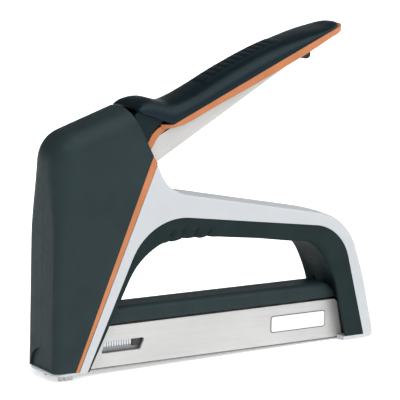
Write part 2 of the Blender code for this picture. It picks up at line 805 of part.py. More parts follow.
def build():
    clear_scene()
    handle_axis = axis_empty("handle_axis", *PIVOT)
    striker_axis = axis_empty("striker_axis", SPRING_X, STRIKER_BOTTOM)
    track_axis = axis_empty("track_axis", TRACK_REAR, ROD_Z)
    pusher_axis = axis_empty("pusher_axis", STRIP_REAR + GAP, ROD_Z)
    for side, hand in ((-1, "left"), (1, "right")):
        nose_cover(side, f"nose_cover_{hand}")
        accent_strip(side, f"accent_strip_{hand}")
        body_shell(side, f"body_shell_{hand}")
        label(side, f"label_{hand}")
    for name in SCREWS:
        screw(name)
    loop_liner()
    rail_cap()
    magazine_channel()
    nose_guide()
    staple_strip()
    striker_bumper()
    power_spring()
    spring_cap()
    lever_pin()
    loading_track(track_axis)
    track_latch(track_axis)
    rod_bracket(track_axis)
    pusher_rod(track_axis)
    pusher_spring(track_axis)
    staple_pusher(pusher_axis)
    striker(striker_axis)
    driver_blade(striker_axis)
    lever_channel(handle_axis)
    handle_grip(handle_axis)
    handle_accent(handle_axis)
    handle_bumper(handle_axis)


build()
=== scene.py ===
"""The looks of the staple gun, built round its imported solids.

Every outline is in millimetres in the tool's own side plane: x runs to the rear from the front of the nose,
z runs up from the base of the magazine, and y is the distance from the middle plane, -Y being the left side.
"""

import math

import bmesh
import bpy
from mathutils import Matrix, Vector


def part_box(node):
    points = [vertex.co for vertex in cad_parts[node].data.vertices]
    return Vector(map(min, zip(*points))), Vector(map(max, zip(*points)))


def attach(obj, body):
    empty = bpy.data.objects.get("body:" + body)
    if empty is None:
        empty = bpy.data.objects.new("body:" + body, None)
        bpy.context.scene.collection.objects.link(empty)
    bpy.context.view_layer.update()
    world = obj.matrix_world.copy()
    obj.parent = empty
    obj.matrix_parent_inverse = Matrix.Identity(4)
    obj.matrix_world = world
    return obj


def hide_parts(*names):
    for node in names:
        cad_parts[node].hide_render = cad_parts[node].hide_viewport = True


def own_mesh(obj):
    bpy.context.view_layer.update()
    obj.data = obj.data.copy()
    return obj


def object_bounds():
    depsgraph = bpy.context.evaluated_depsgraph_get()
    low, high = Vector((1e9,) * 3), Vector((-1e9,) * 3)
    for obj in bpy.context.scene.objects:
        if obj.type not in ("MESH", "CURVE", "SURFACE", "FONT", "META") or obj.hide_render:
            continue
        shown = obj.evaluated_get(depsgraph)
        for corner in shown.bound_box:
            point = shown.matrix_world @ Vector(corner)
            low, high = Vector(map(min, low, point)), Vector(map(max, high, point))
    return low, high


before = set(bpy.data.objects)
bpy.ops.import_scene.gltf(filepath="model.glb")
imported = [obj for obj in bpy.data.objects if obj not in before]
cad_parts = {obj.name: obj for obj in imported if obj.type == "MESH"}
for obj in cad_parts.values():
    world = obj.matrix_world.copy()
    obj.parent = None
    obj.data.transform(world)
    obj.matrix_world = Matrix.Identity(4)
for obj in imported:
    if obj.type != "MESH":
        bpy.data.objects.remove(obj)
CAD_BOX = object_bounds()

MM = 0.001
FRONT = CAD_BOX[0].x
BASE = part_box("loading_track")[0].z


def place(x, y, z):
    """A point of the tool's own frame, as world metres."""
    return Vector((FRONT + x * MM, y * MM, BASE + z * MM))


def spans(node):
    """The lowest and highest corner of a solid, in the tool's own millimetres."""
    return [(corner - Vector((FRONT, 0.0, BASE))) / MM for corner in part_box(node)]


# Overall size, read from the solids
HALF_WIDTH = spans("nose_cover_right")[1].y
LENGTH = spans("body_shell_left")[1].x
NOSE_BOTTOM = spans("nose_cover_left")[0].z
GUIDE_BOTTOM = spans("nose_guide")[0].z
MAG_HALF = spans("magazine_channel")[1].y
MAG_TOP = spans("magazine_channel")[1].z
RAIL_BOTTOM = spans("rail_cap")[0].z
RAIL_TOP = spans("rail_cap")[1].z
RAIL_HALF = spans("rail_cap")[1].y
GRIP_HALF = spans("handle_grip")[1].y
GRIP_TIP = spans("handle_grip")[1].x
ACCENT_TIP = spans("handle_accent")[1].x
FLANGE_OUTER = spans("lever_channel")[1].y

# Walls, joints between shells, and how finely rounds are divided
SHELL_INNER = 10.4
PARTING = 0.04
SEAM = 0.05
TUNNEL_HALF = MAG_HALF + 0.3
TUNNEL_TOP = MAG_TOP + 0.35
FINE = math.radians(4.0)
ROUND_STEPS = 8

# Nose
NOSE_CORNER = (1.0, 103.1)
NOSE_ROUND = 14.5
NOSE_TOP_REAR = (37.07, 115.47)
NOSE_REAR = (48.4, 94.1)
NOSE_FOOT = (10.4, NOSE_BOTTOM)
WALL = 2.4

# Accent strip and body
STRIP_FOOT_WIDTH = 1.45
STRIP_HEAD = (50.6, 91.0)
BODY_BOTTOM = 0.85
HEEL_BOTTOM = -0.3
HEEL_PLATE_TOP = 1.9
ARM_FRONT = (57.2, 77.8, 18.0)
ARM_REAR = (155.5, 59.0, 28.0)
HEEL_UPPER = (165.6, 29.0, 60.0)
HEEL_LOWER = (LENGTH, 6.0, 12.0)
HEEL_CORNER = (LENGTH, HEEL_BOTTOM, 3.0)
HEEL_FRONT = 153.5
LOOP_OUTER = ((16.2, BODY_BOTTOM), (47.0, 68.0, 28.0), (151.0, 54.3, 22.0), (164.9, HEEL_PLATE_TOP))
LOOP_INNER = ((17.5, 1.5), (47.5, 60.0, 34.0), (138.8, 47.6, 15.0), (146.8, 28.0, 60.0), (153.4, 2.3))

# Handle
PIVOT = (34.0, 90.0)
LIFT_POINT = (12.0, 79.0)
LIFT_RADIUS = 2.5
FLANGE_INNER = 7.8
SKIRT_OUTER = 9.5
SKIRT_INNER = 8.8
ARC_PROUD = 0.1
RIM_BREAK = 58.75
TIP_START = 134.0

SCREWS = {
    "screw_cover_upper": (25.5, 66.0, 2.8),
    "screw_cover_lower": (15.0, 25.3, 2.4),
    "screw_arm_front": (53.0, 70.4, 2.8),
    "screw_arm_rear": (136.0, 59.2, 2.4),
    "screw_heel": (162.6, 24.0, 2.8),
}

SIDES = ((-1, "left"), (1, "right"))


# ---------------------------------------------------------------- outlines


def smooth(value):
    """Eases from 0 to 1 as the value goes from 0 to 1."""
    value = min(1.0, max(0.0, value))
    return value * value * (3.0 - 2.0 * value)


def on_line(first, second, x):
    """The height at x of the line through two points."""
    return first[1] + (second[1] - first[1]) * (x - first[0]) / (second[0] - first[0])


def through(points, x):
    """The height at x of a smooth curve through the points."""
    if x <= points[0][0]:
        return points[0][1]
    for i in range(len(points) - 1):
        (x0, z0), (x1, z1) = points[i][:2], points[i + 1][:2]
        if x > x1:
            continue
        before = points[max(0, i - 1)]
        after = points[min(len(points) - 1, i + 2)]
        slope_in = (z1 - before[1]) / (x1 - before[0])
        slope_out = (after[1] - z0) / (after[0] - x0)
        span = x1 - x0
        t = (x - x0) / span
        hermite = (2 * t**3 - 3 * t**2 + 1, t**3 - 2 * t**2 + t, 3 * t**2 - 2 * t**3, t**3 - t**2)
        return (hermite[0] * z0 + hermite[1] * span * slope_in + hermite[2] * z1
                + hermite[3] * span * slope_out)
    return points[-1][1]


def corner_round(before, corner, after, radius, count=None):
    """The points of a round at one corner of an outline."""
    back = (before - corner).normalized()
    ahead = (after - corner).normalized()
    half = back.angle(ahead) / 2
    centre = corner + (back + ahead).normalized() * (radius / math.sin(half))
    first = corner + back * (radius / math.tan(half)) - centre
    turn = math.pi - 2 * half
    if back.x * ahead.y - back.y * ahead.x > 0:
        turn = -turn
    count = count or max(1, math.ceil(abs(turn) / FINE))
    return [centre + Matrix.Rotation(turn * i / count, 2) @ first for i in range(count + 1)]


def outline(corners):
    """An outline through (a, b) corners, or (a, b, radius) ones, which become rounds."""
    points = []
    flat = [Vector(corner[:2]) for corner in corners]
    for index, corner in enumerate(corners):
        if len(corner) == 2:
            points.append(flat[index])
            continue
        after = flat[(index + 1) % len(flat)]
        points += corner_round(flat[index - 1], flat[index], after, corner[2])
    return points


def divided(points, longest):
    """The same chain of points with none further apart than the longest step."""
    dense = [points[0]]
    for first, second in zip(points, points[1:]):
        count = max(1, math.ceil((second - first).length / longest))
        dense += [first.lerp(second, i / count) for i in range(1, count + 1)]
    return dense


def inward(points, index):
    """The unit normal on the right-hand side of a chain of points."""
    before = points[max(0, index - 1)]
    after = points[min(len(points) - 1, index + 1)]
    along = (after - before).normalized()
    return Vector((along.y, -along.x))


def circle(a, b, radius, count=48):
    turns = [math.tau * i / count for i in range(count)]
    return [(a + radius * math.cos(turn), b + radius * math.sin(turn)) for turn in turns]


# ---------------------------------------------------------------- solids


def prism(points, low, high, axis="y"):
    """An outline extruded along one axis. It is in xz for y, in xy for z and in yz for x."""
    spots = {
        "y": lambda point, depth: place(point[0], depth, point[1]),
        "z": lambda point, depth: place(point[0], point[1], depth),
        "x": lambda point, depth: place(depth, point[0], point[1]),
    }[axis]
    bm = bmesh.new()
    near = [bm.verts.new(spots(point, low)) for point in points]
    far = [bm.verts.new(spots(point, high)) for point in points]
    bm.faces.new(near)
    bm.faces.new(list(reversed(far)))
    for i in range(len(points)):
        j = (i + 1) % len(points)
        bm.faces.new((near[i], far[i], far[j], near[j]))
    return bm


def block(xs, ys, zs):
    return prism([(xs[0], zs[0]), (xs[1], zs[0]), (xs[1], zs[1]), (xs[0], zs[1])], *ys)


def cylinder(a, b, radius, low, high, axis="y", count=48):
    return prism(circle(a, b, radius, count), low, high, axis)


def sided(side, low, high):
    """Two distances from the middle plane, as y values in rising order on that side."""
    return sorted((side * low, side * high))


def ring_loft(rings):
    """A body through rings of points, capped at both ends."""
    bm = bmesh.new()
    rows = [[bm.verts.new(place(*point)) for point in ring] for ring in rings]
    for row, following in zip(rows, rows[1:]):
        for i in range(len(row)):
            j = (i + 1) % len(row)
            bm.faces.new((row[i], row[j], following[j], following[i]))
    bm.faces.new(rows[0])
    bm.faces.new(list(reversed(rows[-1])))
    return bm


def half_solid(path, rim, rounding, crowning, side):
    """Half of a body, from the parting plane out. The path is the edge that is rounded towards the side."""
    bm = bmesh.new()
    rows = []
    for index, point in enumerate(path):
        normal = inward(path, index)
        radius, crown = rounding(point), crowning(point)
        flat_end = HALF_WIDTH - radius * (1 - math.sin(crown))
        row = []
        for share in (0.0, 0.35, 0.7, 1.0):
            y = PARTING + (flat_end - PARTING) * share
            row.append((y, 0.5 * math.tan(crown) * y * y / flat_end))
        sunk = row[-1][1] + radius * math.cos(crown)
        for step in range(1, ROUND_STEPS + 1):
            turn = crown + (math.pi / 2 - crown) * step / ROUND_STEPS
            row.append((HALF_WIDTH - radius * (1 - math.sin(turn)), sunk - radius * math.cos(turn)))
        spots = [(point + normal * depth, y) for y, depth in row]
        rows.append([bm.verts.new(place(spot.x, side * y, spot.y)) for spot, y in spots])
    for row, following in zip(rows, rows[1:]):
        for i in range(len(row) - 1):
            bm.faces.new((row[i], row[i + 1], following[i + 1], following[i]))
    near = [bm.verts.new(place(x, side * PARTING, z)) for x, z in rim]
    far = [bm.verts.new(place(x, side * HALF_WIDTH, z)) for x, z in rim]
    bm.faces.new([row[0] for row in rows] + near)
    bm.faces.new([row[-1] for row in rows] + far)
    bm.faces.new(rows[-1] + [far[0], near[0]])
    bm.faces.new(rows[0] + [far[-1], near[-1]])
    for i in range(len(rim) - 1):
        bm.faces.new((near[i], far[i], far[i + 1], near[i + 1]))
    return bm


def coil(start, direction, radius, wire, length, turns, closed_turns=0.0, per_turn=28, wire_sides=12):
    """A helical wire from a start point along a unit direction. Its end turns may lie close together."""
    axis = Vector(direction)
    side = axis.orthogonal().normalized()
    third = axis.cross(side)
    rise = length - 2 * wire - 2 * closed_turns * 2.05 * wire
    count = int((turns + 2 * closed_turns) * per_turn)
    rings = []
    for i in range(count + 1):
        turn = i / per_turn
        opened = min(max(turn - closed_turns, 0.0), turns)
        flat = min(turn, closed_turns) + max(0.0, turn - closed_turns - turns)
        height = wire + opened * rise / turns + flat * 2.05 * wire
        outward = side * math.cos(math.tau * turn) + third * math.sin(math.tau * turn)
        centre = Vector(start) + outward * radius + axis * height
        ring = []
        for k in range(wire_sides):
            spin = math.tau * k / wire_sides
            ring.append(centre + (outward * math.cos(spin) + axis * math.sin(spin)) * wire)
        rings.append(ring)
    return ring_loft(rings)


def mesh_of(bm):
    bmesh.ops.recalc_face_normals(bm, faces=bm.faces)
    mesh = bpy.data.meshes.new("shape")
    bm.to_mesh(mesh)
    bm.free()
    return mesh


def make(name, bm):
    obj = bpy.data.objects.new(name, mesh_of(bm))
    bpy.context.scene.collection.objects.link(obj)
    return obj


def settle(obj):
    """Applies the object's modifiers."""
    graph = bpy.context.evaluated_depsgraph_get()
    mesh = bpy.data.meshes.new_from_object(obj.evaluated_get(graph))
    obj.modifiers.clear()
    obj.data = mesh
    return obj


def boolean(obj, operation, bodies):
    for bm in bodies:
        helper = make("helper", bm)
        modifier = obj.modifiers.new("boolean", "BOOLEAN")
        modifier.operation = operation
        modifier.object = helper
        settle(obj)
        bpy.data.objects.remove(helper)
    return obj


def cut(obj, *bodies):
    return boolean(obj, "DIFFERENCE", bodies)


def join(obj, *bodies):
    return boolean(obj, "UNION", bodies)


def keep(obj, *bodies):
    return boolean(obj, "INTERSECT", bodies)


def ease_edges(obj, width, segments=2, angle=35.0):
    """Rounds every sharp edge a little, as a mould or a tumbler leaves it."""
    modifier = obj.modifiers.new("bevel", "BEVEL")
    modifier.width = width * MM
    modifier.segments = segments
    modifier.limit_method = "ANGLE"
    modifier.angle_limit = math.radians(angle)
    return settle(obj)


def soften(bm, width, chosen, segments=5):
    """Rounds the edges whose two ends both pass the test, which reads the tool's own frame."""
    picked = []
    for edge in bm.edges:
        ends = [(vert.co - Vector((FRONT, 0.0, BASE))) / MM for vert in edge.verts]
        if all(chosen(end) for end in ends) and edge.calc_face_angle(0.0) > math.radians(40.0):
            picked.append(edge)
    bmesh.ops.bevel(bm, geom=picked, offset=width * MM, segments=segments, profile=0.5,
                    affect="EDGES", clamp_overlap=True)
    return bm


def at_side(end, distance):
    return abs(abs(end.y) - distance) < 0.01


def finish_piece(obj, body, slot, material, *nodes):
    """Shades the piece, gives it its material, and ties it to the body and the solids it stands for."""
    mesh = obj.data
    mesh.shade_smooth()
    mesh.set_sharp_from_angle(angle=math.radians(40.0))
    if not mesh.materials:
        mesh.materials.append(material)
    else:
        mesh.materials[0] = material
    modifier = obj.modifiers.new("weighted", "WEIGHTED_NORMAL")
    modifier.keep_sharp = True
    settle(obj)
    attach(obj, body)
    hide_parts(*nodes)
    return obj


# ---------------------------------------------------------------- materials


class Paint:
    """A Principled material whose colour, roughness and relief vary by noise in the piece's own space."""

    def __init__(self, name, base, roughness, metallic=0.0, specular=0.5, coat=0.0, gloss=(1.0, 1.0, 1.0)):
        self.material = bpy.data.materials.new(name)
        self.material.use_nodes = True
        self.nodes = self.material.node_tree.nodes
        self.links = self.material.node_tree.links
        self.shader = self.nodes["Principled BSDF"]
        self.shader.inputs["Metallic"].default_value = metallic
        self.shader.inputs["Specular IOR Level"].default_value = specular
        self.shader.inputs["Specular Tint"].default_value = (*gloss, 1.0)
        self.shader.inputs["Coat Weight"].default_value = coat
        self.shader.inputs["Coat Roughness"].default_value = 0.25
        self.shader.inputs["Base Color"].default_value = (*base, 1.0)
        self.shader.inputs["Roughness"].default_value = roughness
        self.base = base
        self.colour = None
        self.normal = None
        self.coordinates = self.nodes.new("ShaderNodeTexCoord")

    def noise(self, size, detail=3.0, stretch=(1.0, 1.0, 1.0), tilt=0.0, distortion=0.0):
        """Noise whose grains are about size millimetres, longer along an axis by its stretch."""
        mapping = self.nodes.new("ShaderNodeMapping")
        mapping.vector_type = "POINT"
        turned = self.nodes.new("ShaderNodeMapping")
        turned.inputs["Rotation"].default_value = (0.0, tilt, 0.0)
        mapping.inputs["Scale"].default_value = [1.0 / factor for factor in stretch]
        texture = self.nodes.new("ShaderNodeTexNoise")
        texture.inputs["Scale"].default_value = 1.0 / (size * MM)
        texture.inputs["Detail"].default_value = detail
        texture.inputs["Distortion"].default_value = distortion
        self.links.new(self.coordinates.outputs["Object"], turned.inputs["Vector"])
        self.links.new(turned.outputs["Vector"], mapping.inputs["Vector"])
        self.links.new(mapping.outputs["Vector"], texture.inputs["Vector"])
        return texture.outputs["Fac"]

    def spread(self, source, low, high, start=0.3, end=0.7):
        """The noise mapped to a range."""
        ranged = self.nodes.new("ShaderNodeMapRange")
        ranged.inputs["From Min"].default_value = start
        ranged.inputs["From Max"].default_value = end
        ranged.inputs["To Min"].default_value = low
        ranged.inputs["To Max"].default_value = high
        self.links.new(source, ranged.inputs["Value"])
        return ranged.outputs["Result"]

    def tint(self, source, low, high, start=0.3, end=0.7):
        """Varies the colour by the noise, from low to high times the base. A second tint only darkens."""
        factor = self.spread(source, 0.0, 1.0, start, end)
        mix = self.nodes.new("ShaderNodeMix")
        mix.data_type = "RGBA"
        if self.colour is None:
            mix.inputs["A"].default_value = (*[channel * low for channel in self.base], 1.0)
            mix.inputs["B"].default_value = (*[min(1.0, channel * high) for channel in self.base], 1.0)
        else:
            mix.blend_type = "MULTIPLY"
            mix.inputs["B"].default_value = (low, low, low, 1.0)
            self.links.new(self.colour, mix.inputs["A"])
        self.links.new(factor, mix.inputs["Factor"])
        self.colour = mix.outputs["Result"]
        self.links.new(self.colour, self.shader.inputs["Base Color"])
        return self

    def rough(self, source, low, high, start=0.3, end=0.7):
        self.links.new(self.spread(source, low, high, start, end), self.shader.inputs["Roughness"])
        return self

    def bump(self, source, height, strength=1.0):
        """Relief of the given height in millimetres."""
        node = self.nodes.new("ShaderNodeBump")
        node.inputs["Distance"].default_value = height * MM
        node.inputs["Strength"].default_value = strength
        self.links.new(source, node.inputs["Height"])
        if self.normal:
            self.links.new(self.normal, node.inputs["Normal"])
        self.normal = node.outputs["Normal"]
        self.links.new(self.normal, self.shader.inputs["Normal"])
        return self


def moulding(name, base, roughness, grain, specular=0.5, gloss=(1.0, 1.0, 1.0)):
    """Moulded plastic or rubber: a fine spark-eroded grain, faint flow marks and uneven sheen."""
    paint = Paint(name, base, roughness, specular=specular, gloss=gloss)
    flow = paint.noise(14.0, 3.0, distortion=0.6)
    paint.tint(flow, 0.9, 1.1)
    paint.tint(paint.noise(0.5, 2.0), 0.93, 1.0)
    paint.rough(paint.noise(3.0, 5.0), roughness - 0.05, roughness + 0.05)
    paint.bump(flow, 0.04, 0.5)
    paint.bump(paint.noise(0.35, 2.0), grain, 0.6)
    return paint.material


def brushed(name, base, roughness, tilt=0.0, streak=1.0):
    """Sheet steel brushed along its length."""
    paint = Paint(name, base, roughness, metallic=0.5)
    lines = paint.noise(0.16, 4.0, (90.0, 1.0, 1.0), tilt)
    broad = paint.noise(1.6, 3.0, (40.0, 1.0, 1.0), tilt)
    cloud = paint.noise(22.0, 2.0)
    paint.tint(cloud, 0.95, 1.04)
    paint.tint(broad, 0.96, 1.0)
    paint.tint(lines, 1.0 - 0.1 * streak, 1.0, 0.35, 0.65)
    paint.rough(lines, roughness - 0.06, roughness + 0.09)
    paint.bump(lines, 0.004 * streak, 0.5)
    return paint.material


def rolled(name, base, roughness, metallic=1.0):
    """Plain rolled or hardened steel, lightly oiled."""
    paint = Paint(name, base, roughness, metallic=metallic)
    patches = paint.noise(5.0, 4.0, distortion=0.8)
    paint.tint(patches, 0.82, 1.12)
    paint.tint(paint.noise(0.7, 3.0), 0.9, 1.0)
    paint.rough(patches, roughness - 0.08, roughness + 0.14)
    paint.bump(paint.noise(0.5, 3.0), 0.012, 0.6)
    return paint.material


def painted_casting():
    """Smooth satin paint over a casting, with a trace of orange peel."""
    paint = Paint("body_paint", (0.365, 0.376, 0.388), 0.42, coat=0.1)
    paint.tint(paint.noise(30.0, 2.0), 0.975, 1.02)
    paint.tint(paint.noise(0.25, 1.0), 0.985, 1.0)
    paint.rough(paint.noise(6.0, 4.0), 0.37, 0.48)
    paint.bump(paint.noise(1.3, 2.0), 0.01, 0.5)
    return paint.material


def drawn_wire(name, base, roughness):
    paint = Paint(name, base, roughness, metallic=1.0)
    marks = paint.noise(0.3, 4.0)
    paint.tint(marks, 0.85, 1.08)
    paint.rough(marks, roughness - 0.07, roughness + 0.1)
    paint.bump(marks, 0.006, 0.5)
    return paint.material


def film(name, base, roughness):
    """A printed film: glossy, with the faint waviness of an adhesive label."""
    paint = Paint(name, base, roughness, coat=0.4)
    paint.tint(paint.noise(9.0, 2.0), 0.98, 1.01)
    paint.rough(paint.noise(2.0, 4.0), roughness - 0.05, roughness + 0.06)
    paint.bump(paint.noise(4.0, 2.0), 0.02, 0.4)
    return paint.material


COOL = (0.70, 0.93, 1.0)
NOSE_BLACK = moulding("nose_plastic", (0.016, 0.0245, 0.0255), 0.46, 0.02, 0.10, COOL)
GRIP_BLACK = moulding("grip_plastic", (0.003, 0.008, 0.011), 0.36, 0.012, 0.16, COOL)
LINER_BLACK = moulding("liner_rubber", (0.011, 0.0175, 0.018), 0.62, 0.022, 0.07, COOL)
ORANGE = moulding("accent_orange", (0.37, 0.130, 0.047), 0.46, 0.012, 0.3)
BUMPER_BLACK = moulding("bumper_rubber", (0.010, 0.012, 0.013), 0.66, 0.02, specular=0.3)
BODY_GREY = painted_casting()
STEEL = brushed("steel", (0.43, 0.427, 0.416), 0.42, streak=0.6)
LEVER_STEEL = brushed("lever_steel", (0.44, 0.43, 0.415), 0.32, tilt=math.radians(30.0))
# Near-black steel for the pieces inside the tool: the dark colour is painted shade, standing in for the
# shadow they sit in.
SHADED_INNER_STEEL = rolled("inner_steel", (0.05, 0.05, 0.053), 0.40, metallic=0.7)
# Steel for the loading track, darkened to a middle grey: painted shade for the shadow inside the magazine.
SHADED_TRACK_STEEL = rolled("track_steel_painted_shade", (0.24, 0.24, 0.235), 0.42, metallic=0.7)
SPRING_STEEL = drawn_wire("spring_steel", (0.42, 0.42, 0.43), 0.32)
STAPLE_STEEL = drawn_wire("staple_steel", (0.46, 0.50, 0.52), 0.26)
SCREW_STEEL = rolled("screw_steel", (0.10, 0.10, 0.105), 0.4)
LABEL_WHITE = film("label_white", (0.57, 0.58, 0.59), 0.22)
LABEL_RIM = film("label_rim", (0.03, 0.03, 0.035), 0.35)


# ---------------------------------------------------------------- nose


def nose_path():
    """The side view of the nose's front and top, running past both ends so that they can be trimmed."""
    slope = (Vector(NOSE_TOP_REAR) - Vector(NOSE_CORNER)).normalized()
    lean = NOSE_CORNER[0] / (NOSE_CORNER[1] - NOSE_BOTTOM)
    low = Vector((-3.0 * lean, NOSE_BOTTOM - 3.0))
    high = Vector(NOSE_TOP_REAR) + slope * 12.0
    corner = corner_round(low, Vector(NOSE_CORNER), high, NOSE_ROUND)
    return divided([low, corner[0]], 5.0)[:-1] + corner + divided([corner[-1], high], 4.0)[1:]


def nose_rounding(point):
    """The nose's long edge is crisp down the front and wide along the top."""
    return 3.5 + 6.1 * smooth((point.y - 58.0) / 40.0)


def nose_crown(point):
    """How far the nose's skin leans at the start of its rounding."""
    return math.radians(1.8 + 4.2 * smooth((point.y - 85.0) / 18.0))


def nose_limits():
    """What the nose is trimmed to: the slot's edge, the accent strip and the base."""
    slot = (Vector(NOSE_TOP_REAR) - Vector(NOSE_REAR)) * 2.0
    above = Vector(NOSE_REAR) + slot
    return [(-20.0, NOSE_BOTTOM), NOSE_FOOT, NOSE_REAR, tuple(above), (-20.0, above.y)]


def nose_hollow(side):
    """The space inside the nose cover, open below and behind. It narrows toward the rounding on top."""
    slope = (NOSE_TOP_REAR[1] - NOSE_CORNER[1]) / (NOSE_TOP_REAR[0] - NOSE_CORNER[0])
    rear = 60.0
    low = (-5.0, WALL, 13.0, SHELL_INNER, 16.0, 1.8)
    striker_room = (60.0, 4.6, 5.7, 9.6, 2.0, 0.3)
    high = (75.0, WALL, WALL, 7.9, NOSE_ROUND - WALL, 1.8)
    for bottom, wall, depth, width, rounding, ease in (low, striker_room, high):
        corner = (NOSE_CORNER[0] + wall, NOSE_CORNER[1] - depth * 1.05 + slope * wall)
        rear_top = corner[1] + slope * (rear - corner[0])
        corners = [(wall, bottom), (*corner, rounding), (rear, rear_top), (rear, bottom)]
        bm = prism(outline(corners), *sided(side, -1.0, width))
        yield soften(bm, ease, lambda end: at_side(end, width) and end.x < 50, 4)


def front_arch():
    """A shallow arched recess low on the front of the nose."""
    half, height, deep = 9.6, 9.4, 1.2
    points = [(-half, -6.0), (half, -6.0), (half, NOSE_BOTTOM)]
    for i in range(1, 36):
        turn = math.pi * i / 36
        points.append((half * math.cos(turn), NOSE_BOTTOM + height * math.sin(turn)))
    points.append((-half, NOSE_BOTTOM))
    return prism(points, -5.0, deep, "x")


def nose_cover(side, hand):
    path = nose_path()
    rim = [path[-1] + inward(path, len(path) - 1) * 60.0, path[0] + inward(path, 0) * 60.0]
    cover = make(f"nose_cover_{hand}_moulding", half_solid(path, rim, nose_rounding, nose_crown, side))
    keep(cover, prism(nose_limits(), -20.0, 20.0))
    cut(cover, *nose_hollow(side), front_arch())
    cut(cover, cylinder(*PIVOT, 3.3, *sided(side, 9.0, HALF_WIDTH - 1.0)))
    if side > 0:
        for name in ("screw_cover_upper", "screw_cover_lower"):
            cut(cover, screw_head_space(name), screw_hole(name))
    ease_edges(cover, 0.22)
    finish_piece(cover, "root", "nose_plastic", NOSE_BLACK, f"nose_cover_{hand}")


def accent_strip(side, hand):
    corners = [
        (NOSE_FOOT[0] + SEAM, NOSE_BOTTOM - 0.3),
        (NOSE_REAR[0] + SEAM, NOSE_REAR[1] - 0.1),
        (STRIP_HEAD[0] + 0.1, STRIP_HEAD[1] - 0.2),
        (NOSE_FOOT[0] + STRIP_FOOT_WIDTH + 0.2, NOSE_BOTTOM - 0.3),
    ]
    strip = make(f"accent_strip_{hand}_moulding", prism(corners, *sided(side, SHELL_INNER + 0.1, HALF_WIDTH)))
    ease_edges(strip, 0.2)
    finish_piece(strip, "root", "accent_orange", ORANGE, f"accent_strip_{hand}")


# ---------------------------------------------------------------- body


BODY_CROWN = math.radians(4.0)


def body_path():
    """The side view of the body's outer edge, from before the slot round to the heel's base."""
    start = Vector((STRIP_HEAD[0] + 0.15, STRIP_HEAD[1] - 0.3))
    ahead = Vector(ARM_FRONT[:2])
    start = start + (start - ahead).normalized() * 7.0
    heel = (HEEL_UPPER, HEEL_LOWER, HEEL_CORNER, (HEEL_FRONT, HEEL_BOTTOM))
    corners = [tuple(start), ARM_FRONT, ARM_REAR, *heel]
    return divided(outline(corners), 6.0)


def body_rounding(point):
    """The arm's edge is crisp, the rear is softer and the heel's base is crisp again."""
    arm = 0.6 + 0.5 * smooth((point.x - 52.0) / 14.0)
    rear = 1.7 * smooth((point.x - 126.0) / 30.0)
    foot = 1.6 * smooth((9.0 - point.y) / 8.0) if point.x > 150.0 else 0.0
    return arm + rear - foot


def strip_line(z):
    """The body's slanted front edge, along the accent strip."""
    foot = (BODY_BOTTOM, NOSE_FOOT[0] + STRIP_FOOT_WIDTH + 0.3)
    head = (STRIP_HEAD[1] - 0.3, STRIP_HEAD[0] + 0.2)
    return on_line(foot, head, z)


def body_spaces():
    """What is cut out of both body shells."""
    well = [(5.6, 31.2), (6.0, 80.0), (22.0, 80.0), (20.6, 31.2)]
    slot = [(30.0, 76.4), (44.0, 75.5), (61.5, 75.5), (61.5, 110.0), (30.0, 110.0)]
    arm = [(66.0, 67.6), (66.0, 73.6), (126.0, 61.8), (126.0, 59.6)]
    passage = [(5.2, -2.0), (5.2, 31.6), (11.4, 31.6), (11.4, -2.0)]
    tunnel = [(5.2, -2.0), (5.2, TUNNEL_TOP), (LENGTH + 5, TUNNEL_TOP), (LENGTH + 5, -2.0)]
    yield prism(well, -8.3, 8.3)
    yield prism(slot, -SHELL_INNER - 0.1, SHELL_INNER + 0.1)
    yield prism(arm, -SHELL_INNER, SHELL_INNER)
    yield prism(passage, -TUNNEL_HALF + 0.05, TUNNEL_HALF - 0.05)
    yield prism(tunnel, -TUNNEL_HALF, TUNNEL_HALF)


def nose_frame(side):
    """The part of the body that carries the works, under the nose cover."""
    corners = [(3.0, BODY_BOTTOM), (4.4, 70.0, 3.0), (44.8, 72.0), (14.3, BODY_BOTTOM)]
    return prism(outline(corners), *sided(side, PARTING, SHELL_INNER - 0.2))


def nose_base(side):
    """The thin rim that shows below the nose cover."""
    edge = HALF_WIDTH - 0.25
    corners = [(0.25, side * PARTING), (0.25, side * edge, 5.0), (16.0, side * edge), (16.0, side * PARTING)]
    return prism(outline(corners), 0.6, NOSE_BOTTOM - 0.12, "z")


def body_shell(side, hand):
    path = body_path()
    loop = [tuple(point) for point in outline(list(LOOP_OUTER))]
    rim = [(HEEL_FRONT, HEEL_PLATE_TOP), *reversed(loop), (2.0, BODY_BOTTOM),
           path[0] + inward(path, 0) * 10.0]
    half = half_solid(path, rim, body_rounding, lambda point: BODY_CROWN, side)
    shell = make(f"body_shell_{hand}_casting", half)
    limits = [(strip_line(-5.0), -5.0), (200.0, -5.0), (200.0, 130.0), (strip_line(130.0), 130.0)]
    keep(shell, prism(limits, -20.0, 20.0))
    join(shell, nose_frame(side), nose_base(side))
    cut(shell, *body_spaces())
    for name in SCREWS:
        cut(shell, screw_hole(name))
        if side > 0:
            cut(shell, screw_head_space(name))
    ease_edges(shell, 0.18, 2, 50.0)
    finish_piece(shell, "root", "body_grey", BODY_GREY, f"body_shell_{hand}")


def screw_hole(name):
    x, z, _ = SCREWS[name]
    return cylinder(x, z, 1.8, -10.9, 14.0, count=32)


def screw_head_space(name):
    x, z, radius = SCREWS[name]
    return cylinder(x, z, radius + 0.3, 10.9, 14.0)


def screw(name):
    """A countersunk-looking pan head with a hexagon socket."""
    x, z, radius = SCREWS[name]
    obj = make(f"{name}_turned", cylinder(x, z, radius, 11.2, 12.6))
    join(obj, cylinder(x, z, 1.5, -10.1, 11.7, count=32))
    cut(obj, cylinder(x, z, radius * 0.48, 11.7, 14.0, count=6))
    ease_edges(obj, 0.18)
    finish_piece(obj, "root", "screw_steel", SCREW_STEEL, name)


# ---------------------------------------------------------------- finger loop lining

LOOP_STEPS = (26, 30, 170, 26, 34)
RIDGE_PITCH = 6.6
RIDGES = [60.5 + RIDGE_PITCH * i for i in range(4)]
RECESS = 3.75


